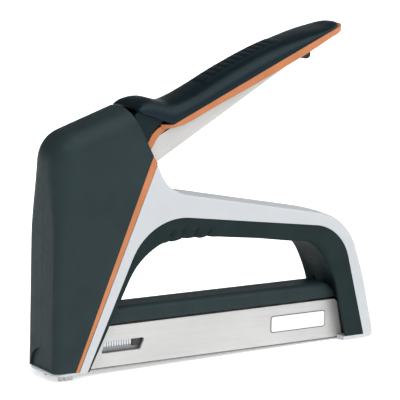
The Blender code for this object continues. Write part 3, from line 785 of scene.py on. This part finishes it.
def evenly(points, count):
    """A chain of points cut into a number of equal steps."""
    lengths = [(second - first).length for first, second in zip(points, points[1:])]
    step = sum(lengths) / count
    spread, walked, index = [points[0]], 0.0, 0
    for number in range(1, count):
        while walked + lengths[index] < number * step:
            walked += lengths[index]
            index += 1
        share = (number * step - walked) / lengths[index]
        spread.append(points[index].lerp(points[index + 1], share))
    return spread + [points[-1]]


def loop_edge(corners):
    """One edge of the lining, with the same number of points on each stretch as the other edge."""
    spots = [Vector(corner[:2]) for corner in corners]
    first = corner_round(*spots[:3], corners[1][2])
    second = corner_round(*spots[1:4], corners[2][2])
    last = [second[-1]]
    if len(corners) == 5:
        last += corner_round(*spots[2:], corners[3][2], 6)
    last.append(spots[-1])
    stretches = [[spots[0], first[0]], first, [first[-1], second[0]], second, last]
    points = [spots[0]]
    for stretch, count in zip(stretches, LOOP_STEPS):
        points += evenly(stretch, count)[1:]
    return points


def liner_rounding(point):
    """The lining's inner edge is crisp in front and softer at the rear, where the hand rests."""
    return 0.5 + 1.2 * smooth((point.y - 6.0) / 40.0) + 1.4 * smooth((point.x - 116.0) / 24.0)


RIDGE_REACH = (50.0, 130.0)


def ridge_relief(x, height, inset):
    """(how far the underside swells out, how deep the side is creased) at a spot of the arm's lining."""
    crease = 0.0
    along = 1.0 - smooth((inset - 1.0) / 5.0)
    pad = smooth((x - 53.0) / 7.0) * smooth((80.0 - x) / 9.0)
    swell = (1.2 * pad - 0.35 * math.exp(-(((x - 105.0) / 14.0) ** 2))) * along * (1.0 - smooth(height / 3.0))
    for ridge in RIDGES:
        off = x - ridge
        if abs(off) < RIDGE_PITCH / 2 and height < 3.0:
            lobe = 0.5 + 0.5 * math.cos(math.tau * off / RIDGE_PITCH)
            swell += 0.22 * lobe * along * (1.0 - smooth(height / 3.0))
        slant = off + RIDGE_PITCH / 2 - 0.78 * height
        width = 0.45 if slant < 0 else 1.5
        fade = smooth((height + 0.5) / 0.8) * (1.0 - smooth((height - 2.8) / 2.4))
        crease += 1.5 * math.exp(-((slant / width) ** 2)) * fade
    return swell, crease


def heel_recess(point, inset):
    """How far the rear wall of the loop is set back between its two side edges, round the magazine's end."""
    if point.x < 120.0:
        return 0.0
    near = min(1.0, inset / 7.0)
    return RECESS * (1.0 - (1.0 - near) ** 2) * smooth((44.0 - point.y) / 16.0)


def liner_ring(outer, inner):
    """One cross-section of the lining, from its left outer edge round the inner face to the right one."""
    toward = outer - inner
    thick = toward.length
    toward.normalize()
    radius = min(liner_rounding(inner), thick * 0.42)
    half = []
    for share in (0.0, 0.3, 0.5, 0.65, 0.75, 0.83, 0.9, 0.95, 1.0):
        half.append((thick - (thick - radius) * share, 0.0, 1.0, 0.0))
    for step in range(1, ROUND_STEPS + 1):
        turn = math.pi / 2 * step / ROUND_STEPS
        half.append((radius * (1 - math.sin(turn)), radius * (1 - math.cos(turn)),
                     math.cos(turn), math.sin(turn)))
    half += [(0.0, inset, 0.0, 1.0) for inset in (3.4, 3.9, 4.5, 5.2, 6.5, 8.0, 10.0)]
    ring = []
    for depth, inset, sideways, under in half:
        near = RIDGE_REACH[0] < inner.x < RIDGE_REACH[1]
        swell, crease = ridge_relief(inner.x, depth, inset) if near else (0.0, 0.0)
        recess = heel_recess(inner, inset) if depth < radius else 0.0
        spot = inner + toward * (depth + recess - swell * under + 0.25 * crease * under)
        ring.append((spot.x, inset + crease * sideways - HALF_WIDTH, spot.y))
    return ring + [(x, -y, z) for x, y, z in reversed(ring)]


def loop_liner():
    """The soft lining of the finger loop, in one piece from the nose's foot round to the heel."""
    outer = loop_edge([(16.28, 1.1), (47.08, 67.9, 27.9), (150.93, 54.2, 21.9),
                       (164.85, HEEL_PLATE_TOP + 0.1)])
    inner = loop_edge(LOOP_INNER)
    liner = make("loop_liner_moulding", ring_loft([liner_ring(a, b) for a, b in zip(outer, inner)]))
    cut(liner, block((0, 200), (-TUNNEL_HALF, TUNNEL_HALF), (-5, TUNNEL_TOP)))
    cut(liner, block((0, 60), (-8.7, 8.7), (19.0, RAIL_TOP + 0.4)))
    heel = [(140.0, -2.0), (157.8, -2.0), (156.9, 2.3), (153.1, 20.0), (151.0, 27.7), (140.0, 27.7)]
    cut(liner, prism(heel, -8.7, 8.7))
    finish_piece(liner, "root", "liner_rubber", LINER_BLACK, "loop_liner")


# ---------------------------------------------------------------- magazine


def rail_cap():
    """The rounded black cap along the top of the magazine. It dips into the lining at both ends."""
    edge, dome_start, dome = 3.6, 144.4, 7.4
    rings = []
    stations = [25.9 + 3.7 * i / 6 for i in range(7)]
    stations += [29.6 + (dome_start - 29.6) * i / 40 for i in range(1, 41)]
    stations += [dome_start + dome * math.sin(math.pi / 2 * i / 14) for i in range(1, 14)]
    for x in stations:
        rise = min(1.0, (x - 25.0) / 4.6)
        fall = math.sqrt(max(0.0, 1.0 - (max(0.0, x - dome_start) / dome) ** 2))
        top = RAIL_BOTTOM + (RAIL_TOP - RAIL_BOTTOM) * rise * (0.12 + 0.88 * fall)
        half = RAIL_HALF - 1.6 * (1.0 - fall)
        radius = min(edge, (top - RAIL_BOTTOM) * 0.6)
        arc = []
        for step in range(11):
            turn = math.pi / 2 * step / 10
            arc.append((x, -(half - radius + radius * math.cos(turn)),
                        top - radius + radius * math.sin(turn)))
        ring = [(x, -half + 0.4, RAIL_BOTTOM), (x, -half, RAIL_BOTTOM + 0.4), *arc, (x, -2.0, top)]
        rings.append(ring + [(px, -y, z) for px, y, z in reversed(ring)])
    cap = make("rail_cap_moulding", ring_loft(rings))
    finish_piece(cap, "root", "nose_plastic", NOSE_BLACK, "rail_cap")


def magazine_channel():
    front, rear = spans("magazine_channel")[0].x, spans("magazine_channel")[1].x
    side_view = [(front, 0.8), (front, MAG_TOP), (rear - 3.7, MAG_TOP, 2.5), (rear, 0.8)]
    bm = prism(outline(side_view), -MAG_HALF, MAG_HALF)
    soften(bm, 0.9, lambda end: at_side(end, MAG_HALF) and end.z > MAG_TOP - 2.6)
    channel = make("magazine_channel_folded", bm)
    cut(channel, block((0, 200), (1.2 - MAG_HALF, MAG_HALF - 1.2), (-5, MAG_TOP - 1.2)))
    window = [(26.3, 7.0, 0.8), (28.5, 12.2, 0.8), (48.6, 12.2, 0.8), (46.3, 7.0, 0.8)]
    cut(channel, prism(outline(window), -30.0, 30.0))
    ease_edges(channel, 0.14)
    finish_piece(channel, "root", "steel", STEEL, "magazine_channel")


def nose_guide():
    """The steel guide that the driver blade slides in. Its two prongs stand below the base."""
    guide = make("nose_guide_milled", block((7.2, 8.9), (-MAG_HALF, MAG_HALF), (0.4, 30.8)))
    for side in (-1, 1):
        join(guide, block((5.6, 12.3), sided(side, 5.7, MAG_HALF), (GUIDE_BOTTOM, 12.0)))
        cut(guide, block((7.3, 8.1), sided(side, 5.0, 8.0), (-5.0, -1.4)))
    ease_edges(guide, 0.2)
    finish_piece(guide, "root", "steel", STEEL, "nose_guide")


def label(side, hand):
    """A blank white plate with a fine dark rim."""
    low, high = spans(f"label_{hand}")
    y = sided(side, MAG_HALF + 0.05, MAG_HALF + 0.25)

    def plate(inset, corner, levels):
        corners = [(low.x + inset, low.z + inset, corner), (low.x + inset, high.z - inset, corner),
                   (high.x - inset, high.z - inset, corner), (high.x - inset, low.z + inset, corner)]
        return prism(outline(corners), *levels)

    rim = make(f"label_{hand}_rim", plate(0.0, 1.4, y))
    cut(rim, plate(0.32, 1.1, (-20.0, 20.0)))
    ease_edges(rim, 0.04, 1)
    finish_piece(rim, "root", "label_white", LABEL_RIM, f"label_{hand}")
    face = make(f"label_{hand}_face", plate(0.33, 1.1, sided(side, MAG_HALF + 0.05, MAG_HALF + 0.22)))
    ease_edges(face, 0.04, 1)
    finish_piece(face, "root", "label_white", LABEL_WHITE, f"label_{hand}")


def staple_rings(front, width):
    """One staple as rings along its bent wire, pointed at both legs."""
    outer, thick = spans("staple_strip")[1].y, 0.5
    foot, top = spans("staple_strip")[0].z, spans("staple_strip")[1].z
    bend = 0.7
    mid = outer - thick / 2
    path = [(Vector((-mid, foot)), 0.35), (Vector((-mid, foot + 0.5)), 1.0), (Vector((-mid, top - 1.4)), 1.0)]
    corner = corner_round(Vector((-mid, foot)), Vector((-mid, top - thick / 2)),
                          Vector((0.0, top - thick / 2)), bend, 5)
    path += [(point, 1.0) for point in corner]
    path += [(Vector((0.0, top - thick / 2)), 1.0)]
    path += [(Vector((-point.x, point.y)), scale) for point, scale in reversed(path[:-1])]
    points = [point for point, _ in path]
    rings = []
    for index, (point, scale) in enumerate(path):
        across = inward(points, index)
        ring = []
        for a, b in ((-1, -0.6), (-1, 0.6), (-0.75, 1), (0.75, 1),
                     (1, 0.6), (1, -0.6), (0.75, -1), (-0.75, -1)):
            spot = point + across * (b * thick / 2)
            ring.append((front + width / 2 + a * scale * width / 2, spot.x, spot.y))
        rings.append(ring)
    return rings


def staple_strip():
    """A stick of staples, each a bent flat wire, side by side."""
    low, high = spans("staple_strip")
    count = 25
    pitch = (high.x - low.x) / count
    stick = bmesh.new()
    for index in range(count):
        one = ring_loft(staple_rings(low.x + index * pitch, pitch * 0.86))
        mesh = mesh_of(one)
        stick.from_mesh(mesh)
        bpy.data.meshes.remove(mesh)
    obj = make("staple_stick", stick)
    finish_piece(obj, "root", "staple_steel", STAPLE_STEEL, "staple_strip")


def track_latch():
    """The finger tab that closes the rear of the heel and pulls the track out."""
    corners = [(158.5, 0.3), (158.5, 18.7, 1.0), (167.3, 18.7, 1.5), (169.9, 4.0, 3.0), (169.9, 0.3)]
    latch = make("track_latch_moulding", prism(outline(corners), -6.9, 6.9))
    cut(latch, cylinder(174.5, 10.0, 6.8, -4.8, 4.8, count=96))
    cut(latch, cylinder(0.0, 9.0, 1.5, 150.0, 162.5, "x"))
    ease_edges(latch, 0.5, 3)
    finish_piece(latch, "track", "nose_plastic", NOSE_BLACK, "track_latch")


def pusher_spring():
    low, high = spans("pusher_spring")
    start = (low.x, 0.0, 9.0)
    spring = make("pusher_spring_coil", coil(start, (1, 0, 0), 2.2, 0.3, high.x - low.x, 34, 2.0, 20, 8))
    finish_piece(spring, "track", "spring_steel", SPRING_STEEL, "pusher_spring")
    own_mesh(spring)


def power_spring():
    low, high = spans("power_spring")
    middle = (low.x + high.x) / 2
    wire = coil((middle, 0.0, low.z), (0, 0, 1), 5.0, 1.0, high.z - low.z, 6, 1.0)
    spring = make("power_spring_coil", wire)
    finish_piece(spring, "root", "spring_steel", SPRING_STEEL, "power_spring")
    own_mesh(spring)


# ---------------------------------------------------------------- handle


def rim_height(x):
    """The line where the black grip meets the accent band."""
    front = ((41.0, 113.7), (RIM_BREAK, 107.2))
    rear = ((RIM_BREAK, 107.2), (135.0, 141.9), (142.0, 144.6), (150.0, 146.7), (156.0, 147.9))
    return on_line(*front, x) if x < RIM_BREAK else through(rear, x)


def band_height(x):
    """The lower edge of the accent band."""
    return through(((56.0, 105.2), (65.0, 107.1), (80.0, 113.6), (110.0, 126.5), (131.0, 136.2),
                    (142.0, 141.4), (150.0, 143.6), (156.0, 144.9)), x)


def crest_height(x):
    """The middle of the grip's top: a raised front lip, a dip, and a long palm swell."""
    return through(((41.0, 115.8), (44.0, 118.0), (48.5, 118.9), (53.0, 117.9), (59.0, 116.8), (65.0, 118.2),
                    (73.0, 121.5), (90.6, 130.1), (110.6, 138.4), (130.6, 144.3), (142.6, 146.9),
                    (150.0, 149.2), (156.0, 149.0)), x)


LIP_FRONT = 41.2
LIP_CORNER = 2.6


def plan_half(x, tip):
    """Half the handle's width at x, seen from above."""
    if x < LIP_FRONT + LIP_CORNER:
        reach = (LIP_FRONT + LIP_CORNER - x) / LIP_CORNER
        return GRIP_HALF - LIP_CORNER * (1.0 - math.sqrt(max(0.0, 1.0 - reach * reach)))
    if x <= TIP_START:
        return GRIP_HALF
    reach = min(1.0, (x - TIP_START) / (tip - TIP_START))
    return max(0.05, GRIP_HALF * math.sqrt(max(0.0, 1.0 - reach * reach)))


def palm_panel(x, y):
    """The raised palm panel with its cross ribs: how far the surface stands out."""
    first, last, half = 78.0, 119.0, 6.4
    rise = smooth((x - first) / 0.9) * smooth((last - x) / 0.9) * smooth((half - abs(y)) / 0.9)
    relief = 0.5 * rise
    ribs = 10
    for index in range(ribs):
        groove = first + 5.0 + index * (last - first - 10.0) / (ribs - 1)
        relief -= 0.42 * math.exp(-(((x - groove) / 0.55) ** 2)) * smooth((half - 1.2 - abs(y)) / 0.8)
    return relief


def grip_ring(x, tip):
    """One cross-section of the grip: a flat floor with rounded corners and a domed back."""
    low, high, half = rim_height(x), crest_height(x), plan_half(x, tip)
    reach = max(0.0, (x - TIP_START) / (tip - TIP_START))
    high = low + (high - low) * math.sqrt(max(0.0, 1.0 - reach**6)) + 0.02
    lip = max(0.0, (LIP_FRONT + 0.9 - x) / 0.9)
    if lip > 0:
        middle = (low + high) / 2
        squeeze = math.sqrt(max(0.02, 1.0 - lip * lip))
        low, high = middle + (low - middle) * squeeze, middle + (high - middle) * squeeze
    edge = min(0.35, (high - low) * 0.2, half * 0.5)
    ring = []
    divisions = 64
    for i in range(divisions + 1):
        share = math.sin(math.pi / 2 * (1.0 - 2.0 * i / divisions))
        y = half * share
        dome = max(0.0, 1.0 - abs(share) ** (8.0 / 3.0)) ** 0.4
        ring.append((x, y, low + edge + (high - low - edge) * dome + palm_panel(x, y)))
    ring += [(x, -half + edge * 0.3, low + edge * 0.3), (x, -half + edge, low)]
    ring += [(x, half - edge, low), (x, half - edge * 0.3, low + edge * 0.3)]
    return ring


def grip_stations(tip, pitch):
    """Places along the handle, closer together at the lip and round the tip."""
    xs = [LIP_FRONT + 0.9 * (1 - math.cos(math.pi / 2 * i / 6)) for i in range(6)]
    count = round((TIP_START - LIP_FRONT - 0.9) / pitch)
    xs += [LIP_FRONT + 0.9 + (TIP_START - LIP_FRONT - 0.9) * i / count for i in range(count + 1)]
    turns = [math.pi / 2 * i / 26 for i in range(1, 27)]
    return xs + [TIP_START + (tip - TIP_START) * math.sin(turn) for turn in turns]


def skirt_outline():
    """The grip's front cheeks, which turn down into the nose."""
    corners = [
        (40.5, 111.6),
        (43.0, 114.2),
        (56.0, 110.0),
        (53.9, 107.3, 4.0),
        (49.6, 104.6, 12.0),
        (45.2, 96.4),
        (38.8, 99.5),
        (42.4, 103.2),
        (43.4, 105.8),
    ]
    return outline(corners)


def arc_outline():
    """The accent band's curved front end, on the side of the lever."""
    corners = [
        (58.0, 107.3),
        (54.6, 106.7, 4.0),
        (50.1, 104.1, 12.0),
        (45.5, 96.0),
        (47.9, 94.6),
        (52.8, 102.6, 12.0),
        (58.0, 105.7),
    ]
    return outline(corners)


def handle_grip():
    rings = [grip_ring(x, GRIP_TIP) for x in grip_stations(GRIP_TIP, 0.6)]
    grip = make("handle_grip_moulding", ring_loft(rings))
    for side in (-1, 1):
        join(grip, prism(skirt_outline(), *sided(side, SKIRT_INNER, SKIRT_OUTER)))
    front = [(42.5, 103.4), (43.5, 105.8), (40.6, 111.6), (42.4, 112.4), (45.2, 105.8), (44.4, 103.4)]
    join(grip, prism(front, -SKIRT_OUTER + 0.1, SKIRT_OUTER - 0.1))
    finish_piece(grip, "handle", "grip_plastic", GRIP_BLACK, "handle_grip")


def accent_ring(x):
    """One cross-section of the accent band, a bar with rounded edges that runs in to the arc in front."""
    low, high = band_height(x), rim_height(max(x, RIM_BREAK)) - SEAM
    half = plan_half(x, ACCENT_TIP) - (GRIP_HALF - SKIRT_OUTER - ARC_PROUD) * (1.0 - smooth((x - 53.0) / 6.5))
    lower = min(0.9, (high - low) * 0.3, half * 0.5)
    upper = min(0.25, half * 0.5)
    left = []
    for step in range(5):
        turn = math.pi / 2 * step / 4
        left.append((x, -half + lower * (1 - math.sin(turn)), low + lower * (1 - math.cos(turn))))
    for step in range(4):
        turn = math.pi / 2 * step / 3
        left.append((x, -half + upper * (1 - math.cos(turn)), high - upper * (1 - math.sin(turn))))
    return left + [(px, -y, z) for px, y, z in reversed(left)]


def handle_accent():
    xs = [54.0 + 80.0 * i / 80 for i in range(81)]
    xs += [x for x in grip_stations(ACCENT_TIP, 1.2) if x > TIP_START + 0.3]
    band = make("handle_accent_moulding", ring_loft([accent_ring(x) for x in xs]))
    hollow = [(50.0, 90.0)]
    hollow += [(x, rim_height(x) - 1.7) for x in (50.0, RIM_BREAK, 135.0, 139.4)]
    hollow += [(139.4, 90.0)]
    cut(band, prism(hollow, -SKIRT_INNER, SKIRT_INNER))
    for side in (-1, 1):
        join(band, prism(arc_outline(), *sided(side, SKIRT_INNER + 0.05, SKIRT_OUTER + ARC_PROUD)))
    finish_piece(band, "handle", "accent_orange", ORANGE, "handle_accent")


def lever_outline():
    """One flange of the lever: a hooked lifting tip, the pivot boss and the long tapering arm."""
    corners = [
        (9.5, 76.4, 2.3),
        (9.5, LIFT_POINT[1] + LIFT_RADIUS, 2.3),
        (13.6, LIFT_POINT[1] + LIFT_RADIUS, 1.6),
        (15.8, 78.4, 0.8),
        (27.5, 92.0, 6.0),
        (34.0, 98.0, 6.0),
        (46.0, 98.6, 10.0),
        (58.6, rim_height(RIM_BREAK) - 2.2),
        (134.0, rim_height(134.0) - 2.2),
        (134.0, 138.0),
        (52.9, 91.2, 1.0),
        (42.0, 83.8, 9.0),
        (30.0, 80.2, 9.0),
        (16.5, 73.8, 4.0),
    ]
    return outline(corners)


def lever_channel():
    """The steel lever: two flanges under a web, folded from one sheet."""
    lever = make("lever_channel_folded", prism(lever_outline(), -FLANGE_OUTER, -FLANGE_INNER))
    join(lever, prism(lever_outline(), FLANGE_INNER, FLANGE_OUTER))
    top = [(50.0, 100.3), (58.5, rim_height(RIM_BREAK) - 2.25), (133.9, rim_height(133.9) - 2.25)]
    web = [*top, *[(x, z - 1.5) for x, z in reversed(top)]]
    join(lever, prism(web, -FLANGE_INNER - 0.7, FLANGE_INNER + 0.7))
    cut(lever, cylinder(*PIVOT, 3.3, -30.0, 30.0))
    ease_edges(lever, 0.2)
    finish_piece(lever, "handle", "steel", LEVER_STEEL, "lever_channel")


def handle_bumper():
    """The rubber stop under the handle's end."""
    corners = [(132.6, 132.9, 1.3), (132.6, 136.8), (135.6, 138.2), (137.4, 138.5), (137.4, 132.5, 1.6),
               (135.0, 131.8, 1.3)]
    bumper = make("handle_bumper_moulding", prism(outline(corners), -3.4, 3.4))
    ease_edges(bumper, 0.9, 4)
    finish_piece(bumper, "handle", "bumper_rubber", BUMPER_BLACK, "handle_bumper")


# ---------------------------------------------------------------- solids that stay, and the studio


def repaint_solids():
    """The pieces inside keep their own solids and get their finish here. Most get near-black steel whose dark
    colour is painted shade, and the loading track gets a steel darkened part way as painted shade.
    """
    finishes = {
        "striker_bumper": BUMPER_BLACK,
        "spring_cap": SHADED_INNER_STEEL,
        "lever_pin": SHADED_INNER_STEEL,
        "rod_bracket": SHADED_INNER_STEEL,
        "pusher_rod": SHADED_INNER_STEEL,
        "staple_pusher": SHADED_INNER_STEEL,
        "striker": SHADED_INNER_STEEL,
        "driver_blade": STEEL,
        "loading_track": SHADED_TRACK_STEEL,
    }
    for node, material in finishes.items():
        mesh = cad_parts[node].data
        mesh.materials.clear()
        mesh.materials.append(material)


FLOOR_GLOW = 0.5


def studio_floor():
    """A plain pale floor. The tool stands on the tips of its nose guide and the rear of its heel."""
    tip, heel = place(12.3, 0.0, GUIDE_BOTTOM), place(LENGTH - 2.6, 0.0, HEEL_BOTTOM)
    slope = math.atan2(heel.z - tip.z, heel.x - tip.x)
    bm = bmesh.new()
    bmesh.ops.create_grid(bm, x_segments=1, y_segments=1, size=9.0)
    floor = make("studio_floor", bm)
    floor.rotation_euler = (0.0, -slope, 0.0)
    floor.location = tip - Vector((0.0, 0.0, 0.00005))
    paper = Paint("paper", (0.94, 0.94, 0.945), 0.9, specular=0.2)
    paper.tint(paper.noise(300.0, 2.0), 0.99, 1.0)
    floor.data.materials.append(paper.material)
    shader = paper.material.node_tree.nodes["Principled BSDF"]
    shader.inputs["Emission Color"].default_value = (1.0, 1.0, 1.0, 1.0)
    shader.inputs["Emission Strength"].default_value = FLOOR_GLOW


def toward_viewer(azimuth, elevation):
    """The unit vector to something seen at that azimuth and elevation."""
    return Vector((math.sin(azimuth) * math.cos(elevation), -math.cos(azimuth) * math.cos(elevation),
                   math.sin(elevation)))


def lamp(azimuth, elevation, strength, spread):
    """A wide soft light far away, from the direction given as for the camera."""
    light = bpy.data.lights.new("lamp", "SUN")
    light.energy = strength
    light.angle = math.radians(spread)
    obj = bpy.data.objects.new("lamp", light)
    back = toward_viewer(math.radians(azimuth), math.radians(elevation))
    obj.rotation_mode = "QUATERNION"
    obj.rotation_quaternion = back.to_track_quat("Z", "Y")
    bpy.context.scene.collection.objects.link(obj)


def studio_room():
    """The walls around: bright in front and low down, dim above and behind."""
    world = bpy.data.worlds.new("studio")
    world.use_nodes = True
    nodes, links = world.node_tree.nodes, world.node_tree.links
    background = nodes["Background"]
    direction = nodes.new("ShaderNodeTexCoord")
    toward = nodes.new("ShaderNodeVectorMath")
    toward.operation = "DOT_PRODUCT"
    toward.inputs[1].default_value = (-0.20, 0.48, 0.855)
    fade = nodes.new("ShaderNodeMapRange")
    fade.interpolation_type = "SMOOTHSTEP"
    fade.inputs["From Min"].default_value = 0.05
    fade.inputs["From Max"].default_value = 0.75
    fade.inputs["To Min"].default_value = 1.0
    fade.inputs["To Max"].default_value = 0.12
    links.new(direction.outputs["Generated"], toward.inputs[0])
    links.new(toward.outputs["Value"], fade.inputs["Value"])
    background.inputs["Color"].default_value = (0.94, 0.975, 1.0, 1.0)
    links.new(fade.outputs["Result"], background.inputs["Strength"])
    bpy.context.scene.world = world


def studio_light():
    studio_room()
    lamp(-10.0, 56.0, 1.55, 70.0)
    lamp(45.0, 56.0, 1.5, 70.0)
    lamp(-44.0, 42.0, 0.5, 22.0)


def studio_camera():
    """A long lens from the front left, a little above the tool."""
    azimuth, elevation, roll = math.radians(-32.501), math.radians(9.736), math.radians(-1.018)
    distance, lens = 0.9795, 196.29
    target = Vector((-0.00474, 0.0, 0.07323))
    back = toward_viewer(azimuth, elevation)
    right = (-back).cross(Vector((0.0, 0.0, 1.0))).normalized()
    up = right.cross(-back)
    across = right * math.cos(roll) - up * math.sin(roll)
    upward = right * math.sin(roll) + up * math.cos(roll)
    data = bpy.data.cameras.new("camera")
    data.lens = lens
    data.sensor_width = 36.0
    data.clip_start, data.clip_end = 0.05, 50.0
    camera = bpy.data.objects.new("camera", data)
    matrix = Matrix((across, upward, back)).transposed().to_4x4()
    matrix.translation = target + back * distance
    camera.matrix_world = matrix
    bpy.context.scene.collection.objects.link(camera)
    bpy.context.scene.camera = camera


def build():
    studio_camera()
    studio_light()
    studio_floor()
    for side, hand in SIDES:
        nose_cover(side, hand)
        accent_strip(side, hand)
        body_shell(side, hand)
        label(side, hand)
    for name in SCREWS:
        screw(name)
    loop_liner()
    rail_cap()
    magazine_channel()
    nose_guide()
    staple_strip()
    power_spring()
    pusher_spring()
    track_latch()
    handle_grip()
    handle_accent()
    lever_channel()
    handle_bumper()
    repaint_solids()


build()
bpy.context.scene.view_settings.view_transform = "Standard"
